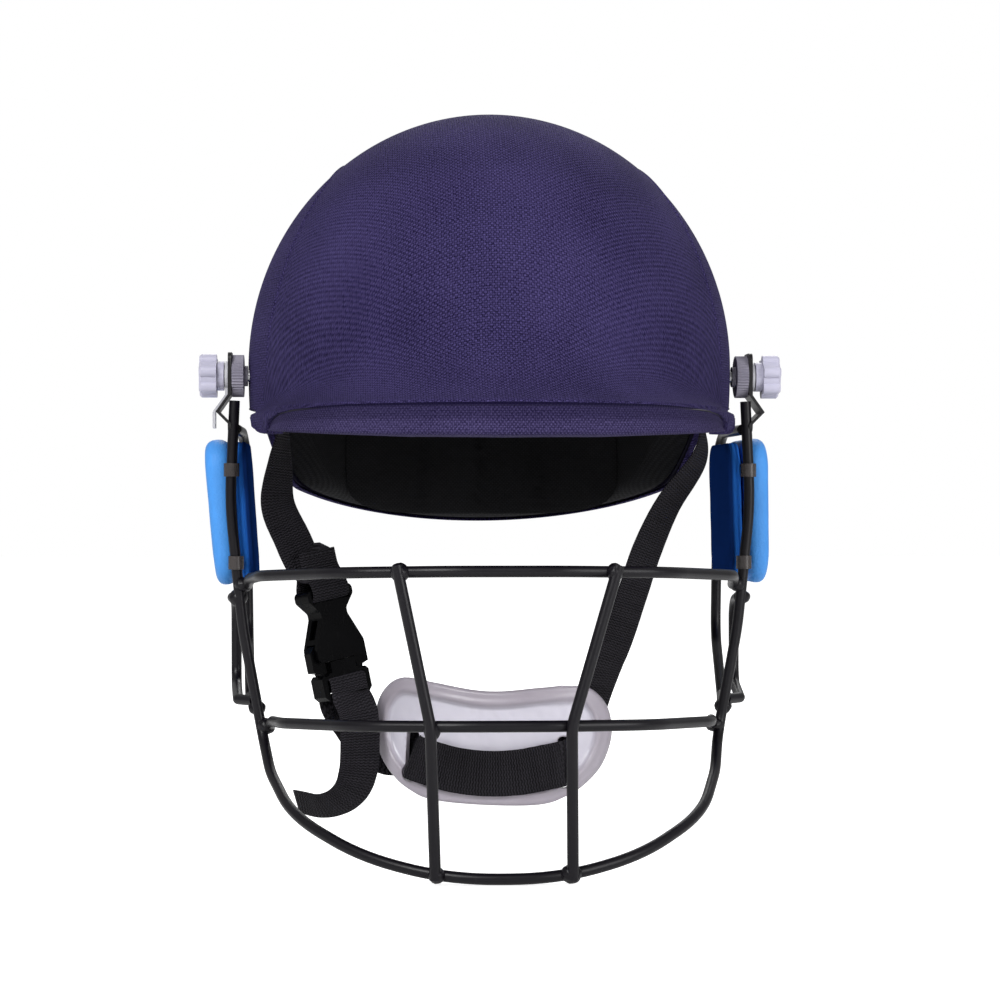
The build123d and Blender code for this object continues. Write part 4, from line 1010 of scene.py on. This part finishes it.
def buckleRoute(places):
    # places up and out from the buckle's mouth, for webbing that lies across the buckle
    return [(bucklePoint(0, up, out), 0) for up, out in places]


def webbing(name, route, flats=None):
    # ribbed webbing along a route of (point, turn): the turn shows its face to the front at 0
    look = {"steps": 4, "edgeFrom": 0.9, "edge": 0.9, "rib": 0.16, "thinning": 0.75, "squareness": 14,
            "endHeight": 0.35, "endLength": 0.0008, "wobble": 0.00008, "wobbleScale": 300,
            "trustFrom": 0.4, "trustSpan": 0.3}
    path = smoothPath([(*point, turn) for point, turn in route], strapForm["ribPitch"] / look["steps"])
    along = unitRows(np.gradient(path[:, :3], axis=0))
    run = runAlong(path[:, :3])
    half, thick = strapForm["width"] / 2, strapForm["thickness"] / 2
    spread = (-1.0, -0.985, -0.93, -0.75, -0.45, -0.15, 0.15, 0.45, 0.75, 0.93, 0.985, 1.0)
    points, pattern = [], []
    carried = None
    for k, row in enumerate(path):
        direction = Vector(along[k])
        if flats is None:
            # where the route runs straight to the front or back, the face is carried on from the row before
            flat = direction.cross(Vector((0, -1, 0)))
            trust = min(max((flat.length - look["trustFrom"]) / look["trustSpan"], 0.0), 1.0)
            across = Matrix.Rotation(radians(row[3]), 3, direction) @ flat.normalized()
            if carried is not None:
                kept = (carried - direction * carried.dot(direction)).normalized()
                across = (across * trust + kept * (1 - trust)).normalized()
            carried = across
        else:
            across = (flats - direction * flats.dot(direction)).normalized()
        normal = across.cross(direction)
        wave = cos(2 * pi * run[k] / strapForm["ribPitch"])
        end = min(1.0, look["endHeight"] + min(run[k], run[-1] - run[k]) / look["endLength"])
        wobble = look["wobble"] * noise.noise(Vector((run[k] * look["wobbleScale"], 0.3, 0.0)))
        for side in (1, -1):
            for u in (spread if side > 0 else spread[::-1]):
                rib = look["edge"] if abs(u) > look["edgeFrom"] else 1 - look["rib"] + look["rib"] * wave * side
                body = thick * rib * (1 - abs(u) ** look["squareness"] * look["thinning"]) * end
                points.append(Vector(row[:3]) + across * (u * half + wobble) + normal * body * side)
                pattern.append((u * half, run[k]))
    piece = meshPiece(name, points, cappedTube(len(path), 2 * len(spread)), webbingCloth)
    faceOutwards(piece)
    writeUv(piece, lambda corners: [pattern[c] for c in corners])
    return piece


def makeRightWebbing():
    # from the right anchor down to the socket's bar, where a sewn loop goes round
    places = ((-1.0, 0.0, -0.067), (-1.0, 0.0, 0.0), (-1.0, 0.0, 0.045), (-0.988, 0.0, 0.1),
              (-1.004, 0.0, 0.21),
              (-1.015, 0.0, 0.33), (-0.95, 0.0, 0.43), (-0.885, 0.0, 0.51))
    turns = (-90, -90, -90, -82, -60, -44, -38, -37)
    top = buckleForm["socket"]
    route = strapRoute(places, turns)
    route += [(bucklePoint(0, top + 0.0125), -37), (bucklePoint(0, top + 0.0075), -38)]
    strap = webbing("webbingRight", route)
    low = top - 0.0050
    side = buckleForm["thickness"] / 2 + 0.00085
    loop = [(top + 0.0150, -0.0014), (top + 0.0100, -0.0016), (top + 0.0050, -0.0040), (top + 0.0005, -side),
            (top - 0.0026, -side), (low, -side * 0.72), (low, 0.0), (low, side * 0.72), (top - 0.0026, side),
            (top + 0.0005, side), (top + 0.0050, 0.0040), (top + 0.0100, 0.0016), (top + 0.0170, 0.0014)]
    fold = webbing("webbingLoop", buckleRoute(loop), flats=buckleAcross)
    for piece in (strap, fold):
        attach(piece, "chin_strap")
    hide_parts("right_strap")


def makeLongWebbing():
    # from the left anchor through the cup, round the plug's bar and down to the free end
    upper = ((1.0, 0.0, -0.067), (1.0, 0.0, 0.0), (1.0, 0.0, 0.045), (1.0, 0.0, 0.1), (0.98, 0.0, 0.2),
             (0.835, 0.0, 0.333), (0.735, 0.0, 0.467), (0.664, 0.0, 0.6), (0.594, 0.0, 0.733),
             (0.537, 0.5, 0.82),
             (0.479, 3.5, 0.92), (0.431, 3.0, 1.007), (0.388, 0.8, 1.063))
    upperTurns = (-90, -90, -90, -80, -62, -50, -43, -42, -42, -42, -40, -32, -20)
    cup = ((30.5, 8.6, 0.4), (27.6, 6.6, 0.0), (26.0, 3.2, 0.0), (24.2, -0.9, -0.4), (20.0, -1.7, -1.6),
           (10.0, -1.7, -4.4), (0.0, -1.7, -5.4), (-10.0, -1.7, -4.4), (-20.0, -1.7, -1.6),
           (-24.2, -0.9, -0.4),
           (-26.0, 3.2, 0.0), (-27.6, 6.6, 0.0), (-32.0, 9.4, 0.2))
    behind = ((-0.5, 20.3, 1.08), (-0.606, 21.8, 1.033), (-0.681, 15.0, 0.973))
    plugOut = buckleForm["plugThickness"] / 2 + 0.00095
    route = strapRoute(upper, upperTurns)
    route += [(cupPoint(*place), 0) for place in cup]
    route += strapRoute(behind, (5, 15, 27))
    route += [(bucklePoint(0, -0.0198, -plugOut), 36), (bucklePoint(0, -0.0150, -plugOut), 38)]
    long = webbing("webbingLong", route)
    high, low = (buckleForm["plugBase"] * share for share in buckleForm["slots"])
    wrap = [(-low - 0.0010, -plugOut), (-low + 0.0010, -plugOut), (-high - 0.0002, -plugOut),
            (-high + 0.0009, -plugOut * 0.6), (-high + 0.0010, 0.0), (-high + 0.0009, plugOut * 0.6),
            (-high - 0.0002, plugOut), (-low + 0.0010, plugOut), (-low - 0.0020, plugOut)]
    over = webbing("webbingWrap", buckleRoute(wrap), flats=buckleAcross)
    tail = ((-0.632, -5.0, 0.955), (-0.628, -4.5, 1.07), (-0.64, -4.0, 1.133), (-0.672, -3.0, 1.18),
            (-0.735, -1.0, 1.213), (-0.82, 2.0, 1.226), (-0.93, 5.0, 1.214))
    route = [(bucklePoint(0, -low - 0.0017, plugOut), -38), (bucklePoint(0, -buckleForm["plugBase"], plugOut),
                                                             -36)]
    route += strapRoute(tail, (-32, -30, -32, -38, -46, -52, -56))
    free = webbing("webbingTail", route)
    for piece in (over, free):
        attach(piece, "buckle_release")
    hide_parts("left_strap", "cup_strap")
    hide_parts("strap_tail")
    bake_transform(long)
    print("webbing made")


# Chin cup

def cupOutline(turns):
    # the cup's outline seen from the front, as a smooth closed line of half sizes
    shares = ((0.12, 0.84), (0.45, 0.92), (0.76, 0.96), (0.94, 0.68), (1.0, 0.22), (0.95, -0.24),
              (0.84, -0.56),
              (0.66, -0.82), (0.38, -0.97))
    right = [(x * cupForm["width"] / 2, z * cupForm["height"] / 2) for x, z in shares]
    loop = right + [(-x, z) for x, z in reversed(right)]
    loop = loop[-2:] + loop + loop[:3]
    line = smoothPath([(x, z, 0.0) for x, z in loop], 0.0004)
    angle = np.mod(np.arctan2(line[:, 1], line[:, 0]), 2 * pi)
    order = np.argsort(angle)
    return np.interp(np.mod(turns, 2 * pi), angle[order], np.hypot(line[:, 0], line[:, 1])[order],
                     period=2 * pi)


def onCup(x, depth, z):
    # a place behind the cup's bent front
    reach = cupForm["bend"] - depth
    return cupPlace @ Vector((x, -sqrt(max(reach ** 2 - x ** 2, 1e-9)), z))


def cutCupSlot(piece, side):
    # a slot with round corners right through the cup, for the webbing
    sizes = {"through": 0.03, "corner": 0.0022}
    cutter = bmesh.new()
    bmesh.ops.create_cube(cutter, size=1.0)
    bmesh.ops.scale(cutter, vec=(cupForm["slotWidth"], sizes["through"], cupForm["slotLength"]),
                    verts=cutter.verts)
    edges = [e for e in cutter.edges if abs(e.verts[0].co.y - e.verts[1].co.y) > sizes["through"] / 2]
    bmesh.ops.bevel(cutter, geom=edges, offset=sizes["corner"], segments=5, affect="EDGES", profile=0.5)
    place = (cupPlace @ Matrix.Rotation(radians(side * cupForm["slotAngle"]), 4, "Z")
             @ Matrix.Translation((0, -cupForm["bend"], -cupForm["slotDrop"])))
    bmesh.ops.transform(cutter, matrix=place, verts=cutter.verts)
    mesh = bpy.data.meshes.new("slotCutter")
    cutter.to_mesh(mesh)
    cutter.free()
    tool = addObject("slotCutter", mesh)
    cut = piece.modifiers.new("slot", "BOOLEAN")
    cut.object = tool
    cut.solver = "EXACT"
    bakeModifiers(piece)
    bpy.data.objects.remove(tool)


def makeCup():
    # the moulded cup: a rolled edge, a raised bead, and a crinkled recess inside a flat rim
    sizes = {"rings": 58, "spokes": 190, "crowding": 1.5, "edge": 0.0018, "step": 0.0030, "bead": 0.0005,
             "beadIn": 0.0048, "beadWidth": 0.0011, "crinkle": 0.00030, "fineCrinkle": 0.6,
             "borderPoints": 900}
    turns = np.linspace(0, 2 * pi, sizes["spokes"], endpoint=False)
    outline = cupOutline(turns)
    full = cupForm["recess"] + cupForm["wall"]
    fineTurns = np.linspace(0, 2 * pi, sizes["borderPoints"], endpoint=False)
    fine = cupOutline(fineTurns)
    border = np.stack([fine * np.cos(fineTurns), fine * np.sin(fineTurns)], axis=1)
    points, inner = [], []
    for layer, out, spoke in discPlaces(sizes["rings"], sizes["spokes"], sizes["crowding"]):
        x, z = (out * outline[spoke] * part(turns[spoke]) for part in (cos, sin))
        inset = np.sqrt(((border - (x, z)) ** 2).sum(axis=1).min()) if out < 1 else 0.0
        low = np.clip((inset - cupForm["rim"] + sizes["step"] / 2) / sizes["step"], 0, 1)
        low = low * low * (3 - 2 * low)
        near = min(inset / sizes["edge"], 1.0)
        roll = sizes["edge"] * (1 - sqrt(max(1 - (1 - near) ** 2, 0.0)))
        depth = full - roll
        if layer == 0:
            crinkle = noise.noise(Vector((x * 130, z * 170, 0.4)))
            crinkle += sizes["fineCrinkle"] * noise.noise(Vector((x * 360, z * 300, 2.0)))
            bead = sizes["bead"] * np.exp(-((inset - sizes["beadIn"]) / sizes["beadWidth"]) ** 2)
            depth = cupForm["recess"] * low + roll - sizes["crinkle"] * low * crinkle - bead
        points.append(onCup(x, depth, z))
        inner.append(float(low) if layer == 0 else 0.0)
    points += [onCup(0.0, cupForm["recess"], 0.0), onCup(0.0, full, 0.0)]
    inner += [1.0, 0.0]
    piece = meshPiece("chinCup", points, discFaces(sizes["rings"], sizes["spokes"]), cupPlastic)
    writePointValues(piece, "recess", inner)
    faceOutwards(piece)
    for side in (-1, 1):
        cutCupSlot(piece, side)
    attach(piece, "buckle_release")
    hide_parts("chin_cup")


def makeCupPad():
    # the soft pad on the side of the cup that rests on the chin
    sizes = {"rings": 18, "spokes": 72, "crowding": 1.6, "half": (0.026, 0.0155), "thickness": 0.005,
             "clear": 0.00015}
    rings, spokes = sizes["rings"], sizes["spokes"]
    behind = cupForm["recess"] + cupForm["wall"] + sizes["clear"]
    points = []
    for layer, out, spoke in discPlaces(rings, spokes, sizes["crowding"]):
        turn = 2 * pi * spoke / spokes
        size = squareReach(turn)
        x, z = out * size * cos(turn) * sizes["half"][0], out * size * sin(turn) * sizes["half"][1]
        points.append(onCup(x, behind + sizes["thickness"] * (1 - out ** 6) ** 0.5 * layer, z))
    points += [onCup(0.0, behind, 0.0), onCup(0.0, behind + sizes["thickness"], 0.0)]
    pad = meshPiece("chinCupPad", points, discFaces(rings, spokes), cupFoam)
    faceOutwards(pad)
    writeUv(pad, lambda corners: [(points[c].x, points[c].z) for c in corners])
    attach(pad, "buckle_release")
    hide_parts("chin_cup_pad")
    print("cup made")


# Geometry Nodes: weld beads and stitches

def setInput(modifier, name, value):
    for item in modifier.node_group.interface.items_tree:
        if item.item_type == "SOCKET" and item.in_out == "INPUT" and item.name == name:
            modifier[item.identifier] = value
            return
    raise KeyError(name)


def scatter(group, points, shape, **more):
    # the shape, shaded smooth, on every point, as real geometry
    smooth = addNode(group, "GeometryNodeSetShadeSmooth", {"Geometry": shape})
    placed = addNode(group, "GeometryNodeInstanceOnPoints",
                     {"Points": points, "Instance": smooth.outputs[0], **more})
    return addNode(group, "GeometryNodeRealizeInstances", {"Geometry": placed.outputs[0]}).outputs[0]


def finishTree(group, given, result, shape):
    done = addNode(group, "GeometryNodeSetMaterial", {"Geometry": shape, "Material": given["Finish"]})
    feed(group, result, {"Geometry": done.outputs[0]})
    return group


def makeBeadTree():
    # a lumpy bead of weld on every point
    group, given, result = newGroup("weldBeads", "GeometryNodeTree",
                                    [("Points", "Geometry", None), ("Radius", "Float", 0.0034),
                                     ("Lump", "Float", 0.0006), ("Seed", "Int", 4),
                                     ("Finish", "Material", None)],
                                    [("Geometry", "Geometry")])
    ball = addNode(group, "GeometryNodeMeshIcoSphere", {"Radius": given["Radius"], "Subdivisions": 4})
    scale = addNode(group, "FunctionNodeRandomValue", {"Min": (0.86, 0.86, 0.80), "Max": (1.12, 1.12, 1.05),
                                                       "Seed": given["Seed"]}, data_type="FLOAT_VECTOR")
    beads = scatter(group, given["Points"], ball.outputs[0], Scale=scale.outputs[0])
    place = addNode(group, "GeometryNodeInputPosition").outputs[0]
    lumps = addNode(group, "ShaderNodeTexNoise", {"Vector": place, "Scale": 420.0, "Detail": 2.0}).outputs[0]
    push = addNode(group, "ShaderNodeVectorMath", {0: addNode(group, "GeometryNodeInputNormal").outputs[0],
                                                   "Scale": swing(group, lumps, given["Lump"])},
                   operation="SCALE")
    moved = addNode(group, "GeometryNodeSetPosition", {"Geometry": beads, "Offset": push.outputs[0]})
    return finishTree(group, given, result, moved.outputs[0])


def makeStitchTree():
    # a row of thread beads along every edge
    group, given, result = newGroup("stitchRow", "GeometryNodeTree",
                                    [("Path", "Geometry", None), ("Pitch", "Float", 0.0026),
                                     ("Length", "Float", 0.0020), ("Thickness", "Float", 0.00045),
                                     ("Finish", "Material", None)],
                                    [("Geometry", "Geometry")])
    curve = addNode(group, "GeometryNodeMeshToCurve", {"Mesh": given["Path"]})
    spaced = addNode(group, "GeometryNodeCurveToPoints",
                     {"Curve": curve.outputs[0], "Length": given["Pitch"]},
                     mode="LENGTH").outputs
    thread = addNode(group, "GeometryNodeMeshUVSphere", {"Segments": 8, "Rings": 6, "Radius": 0.5})
    size = addNode(group, "ShaderNodeCombineXYZ",
                   {0: given["Thickness"], 1: given["Thickness"], 2: given["Length"]})
    rows = scatter(group, spaced["Points"], thread.outputs[0], Rotation=spaced["Rotation"],
                   Scale=size.outputs[0])
    return finishTree(group, given, result, rows)


def runTree(name, points, edges, tree, values):
    mesh = bpy.data.meshes.new(name)
    mesh.from_pydata([tuple(p) for p in points], edges, [])
    piece = addObject(name, mesh)
    modifier = piece.modifiers.new("build", "NODES")
    modifier.node_group = tree
    for key, value in values.items():
        setInput(modifier, key, value)
    return bakeModifiers(piece)


def crossing(firstMesh, firstFace, secondMesh, secondFace):
    # the middle of the line along which two triangles cut each other
    spots = []
    faces = [[mesh.vertices[v].co for v in mesh.polygons[face].vertices]
             for mesh, face in ((firstMesh, firstFace), (secondMesh, secondFace))]
    for own, other in (faces, faces[::-1]):
        for k, start in enumerate(own):
            along = own[(k + 1) % len(own)] - start
            hit = geometry.intersect_ray_tri(*other[:3], along, start, True)
            if hit is not None and 0 <= (hit - start).dot(along) <= along.length_squared:
                spots.append(hit)
    return sum(spots, Vector()) / len(spots) if spots else None


def weldPlaces():
    # where two welded wires run into each other, read from the frame's own solids
    sizes = {"oneWeld": 0.012, "apart": 0.004}
    ends = (("eye_bar", "upright"), ("mouth_bar", "upright"), ("chin_hoop", "upright"),
            ("chin_hoop", "rear_stay"),
            ("chin_hoop", "jaw_loop"))
    welded = [("chin_hoop", "eye_bar"), ("chin_hoop", "mouth_bar")]
    welded += [(wire, f"{side}_{end}") for wire, end in ends for side in ("left", "right")]
    meshes = {name: nodes[name].data for pair in welded for name in pair}
    trees = {name: surfaceTree(mesh) for name, mesh in meshes.items()}
    places = []
    for first, second in welded:
        hits = trees[first].overlap(trees[second])
        centres = [crossing(meshes[first], hit[0], meshes[second], hit[1]) for hit in hits]
        centres = [centre for centre in centres if centre is not None]
        while centres:
            close = [c for c in centres if (c - centres[0]).length < sizes["oneWeld"]]
            centres = [c for c in centres if (c - centres[0]).length >= sizes["oneWeld"]]
            middle = sum(close, Vector()) / len(close)
            if all((middle - other).length > sizes["apart"] for other in places):
                places.append(middle)
    return places


def makeWelds():
    sizes = {"Radius": 0.0039, "Lump": 0.0011, "Seed": 4}
    places = weldPlaces()
    beads = runTree("weldBeads", places, [], makeBeadTree(), {**sizes, "Finish": coatedWire})
    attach(beads, "grille")
    print("welds:", len(places))


def makeStitches():
    # rows of stitches over both faces of the sewn loop, lifted more where the loop opens
    sizes = {"Pitch": 0.0024, "Length": 0.0019, "Thickness": 0.00042}
    half, face, opens, more = 8.6 * mm, 0.0024, 0.009, 1.35
    points = []
    for out, ups in ((face, (0.0072, 0.0108, 0.0152)), (-face, (0.0072, 0.0108, 0.0146))):
        for up in ups:
            lift = out * (1.0 if up > opens else more)
            points += [bucklePoint(across, buckleForm["socket"] + up, lift) for across in (-half, half)]
    edges = [(k, k + 1) for k in range(0, len(points), 2)]
    rows = runTree("loopStitches", points, edges, makeStitchTree(), {**sizes, "Finish": stitchThread})
    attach(rows, "chin_strap")
    print("stitches made")


# Ear guards

guardForm = {"front": -0.0167, "back": 0.0520, "top": -0.0320, "height": 0.0660, "inner": 0.1084,
             "panel": 0.0060,
             "gap": 0.0014, "pad": 0.0116, "corner": 0.0130, "leftLean": -1.5, "rightLean": 4.0}


def guardReach(turn):
    # how far out from its middle a rounded rectangle reaches, narrowed down by halves
    halfY = (guardForm["back"] - guardForm["front"]) / 2
    halfZ = guardForm["height"] / 2
    corner = guardForm["corner"]
    low, high = 0.0, 0.1
    for _ in range(26):
        size = (low + high) / 2
        y, z = abs(size * cos(turn)), abs(size * sin(turn))
        dy, dz = max(y - halfY + corner, 0.0), max(z - halfZ + corner, 0.0)
        outside = y > halfY or z > halfZ or dy * dy + dz * dz > corner ** 2
        low, high = (low, size) if outside else (size, high)
    return low


def guardPiece(name, side, profile, finish, narrowing, dish):
    # a moulding whose edge follows a profile of (place along X, inset), closed over both faces
    sizes = {"spokes": 168, "spans": 16, "unevenness": 0.00012, "scale": 90, "seed": 5.0}
    lean = guardForm["leftLean"] if side > 0 else guardForm["rightLean"]
    seam = Vector((guardForm["inner"] + guardForm["panel"], (guardForm["front"] + guardForm["back"]) / 2,
                   guardForm["top"] - guardForm["height"] / 2))
    place = Matrix.Translation(seam) @ Matrix.Rotation(radians(lean), 4, "Y")
    spokes = sizes["spokes"]
    turns = [2 * pi * k / spokes for k in range(spokes)]
    outline = [guardReach(turn) for turn in turns]
    first, last = profile[0], profile[-1]
    middle = (first[0] + last[0]) / 2
    shares = [k / sizes["spans"] for k in range(1, sizes["spans"])]
    rings = [(*first, share) for share in shares] + [(x, inset, 1.0) for x, inset in profile]
    rings += [(*last, share) for share in reversed(shares)]
    points, tint = [], []
    for x, inset, share in rings:
        for turn, size in zip(turns, outline):
            reach = (size - inset) * share
            y, z = reach * cos(turn), reach * sin(turn)
            down = 0.5 - z / guardForm["height"]
            swell = dish * (1 - share ** 2) * (1 if x > middle else -1)
            depth = middle + (x + swell - middle) * (1 - narrowing * down ** 2)
            spot = Vector((y * sizes["scale"], z * sizes["scale"], sizes["seed"] * side))
            points.append((depth + sizes["unevenness"] * noise.noise(spot), y, z))
            tint.append((x - first[0]) / (last[0] - first[0]))
    points += [(first[0] - dish, 0.0, 0.0), (last[0] + dish, 0.0, 0.0)]
    tint += [0.0, 1.0]
    count = len(rings) * spokes
    faces = tubeFaces(len(rings), spokes)
    for start, centre in ((0, count), (count - spokes, count + 1)):
        faces += [(start + k, start + (k + 1) % spokes, centre) for k in range(spokes)]
    placed = [place @ (Vector(point) - Vector((guardForm["panel"], 0, 0))) for point in points]
    piece = meshPiece(name, [(spot.x * side, spot.y, spot.z) for spot in placed], faces, finish)
    # the share through the thickness from the cheek side outwards; the blue panel's finish uses it to darken
    # the cheek side as painted shade
    writePointValues(piece, "layer", tint)
    faceOutwards(piece)
    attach(piece, "grille")
    return piece


def makeGuards():
    start, full, rounding = guardForm["panel"] + guardForm["gap"], guardForm["pad"], 0.0062
    padProfile = [(start + full * t, rounding * (1 - sqrt(max(1 - (1 - min(t, 1 - t) / 0.5) ** 2.6, 0.0))))
                  for t in (0.0, 0.02, 0.06, 0.12, 0.2, 0.3, 0.42, 0.55, 0.68, 0.78, 0.86, 0.92, 0.96, 0.985,
                            1.0)]
    thick = guardForm["panel"]
    panelProfile = [(0.0, 0.0034), (0.0003, 0.0026), (0.0010, 0.0022), (0.0020, 0.0021), (0.0024, 0.0030),
                    (0.0028, 0.0021), (0.0034, 0.0020), (0.0040, 0.0021), (0.0044, 0.0029), (0.0048, 0.0021),
                    (0.0053, 0.0021), (thick - 0.0002, 0.0026), (thick, 0.0036)]
    for side, word in ((1, "left"), (-1, "right")):
        pad = guardPiece(f"{word}GuardPad", side, padProfile, blueMoulding, 0.22, 0.0006)
        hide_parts(f"{word}_ear_guard")
        panel = guardPiece(f"{word}GuardPanel", side, panelProfile, bluePanel, 0.0, 0.0)
        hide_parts(f"{word}_ear_panel")
    print("guards made")


# Finishes for the carried-over solids, by the node's name without its side

solidFinishes = {
    "outer_shell": shellPlastic, "chin_hoop": coatedWire, "eye_bar": coatedWire, "mouth_bar": coatedWire,
    "upright": coatedWire, "rear_stay": coatedWire, "jaw_loop": coatedWire, "side_plate": wornPlate,
    "pivot_stud": turnedSteel, "strap_anchor": turnedSteel, "toothed_wheel": greyPlastic,
    "thumb_knob": palePlastic, "tab_washer": tabPlastic, "guard_clips": clipPlastic,
    "guard_rivets": bluePanel,
    "buckle_socket": blackPlastic, "buckle_plug": blackPlastic, "buckle_prong": blackPlastic,
}
softEdges = {"buckle_socket": 0.0007, "buckle_plug": 0.0007, "buckle_prong": 0.0007, "side_plate": 0.0003,
             "tab_washer": 0.0003, "guard_clips": 0.0003}


def dressSolids():
    for name, node in nodes.items():
        sort = name.removeprefix("left_").removeprefix("right_")
        if sort not in solidFinishes:
            continue
        node.data.materials.clear()
        node.data.materials.append(solidFinishes[sort])
        if sort in softEdges:
            soften = node.modifiers.new("softEdges", "BEVEL")
            soften.width = softEdges[sort]
            soften.segments = 3
            soften.limit_method = "ANGLE"
            soften.angle_limit = radians(35)
            soften.harden_normals = True
    print("solids dressed")


makeSeams(makeCover())
makeLip()
makeLiner()
makePads()
makeRightWebbing()
makeLongWebbing()
makeCup()
makeCupPad()
makeGuards()
makeWelds()
makeStitches()
dressSolids()
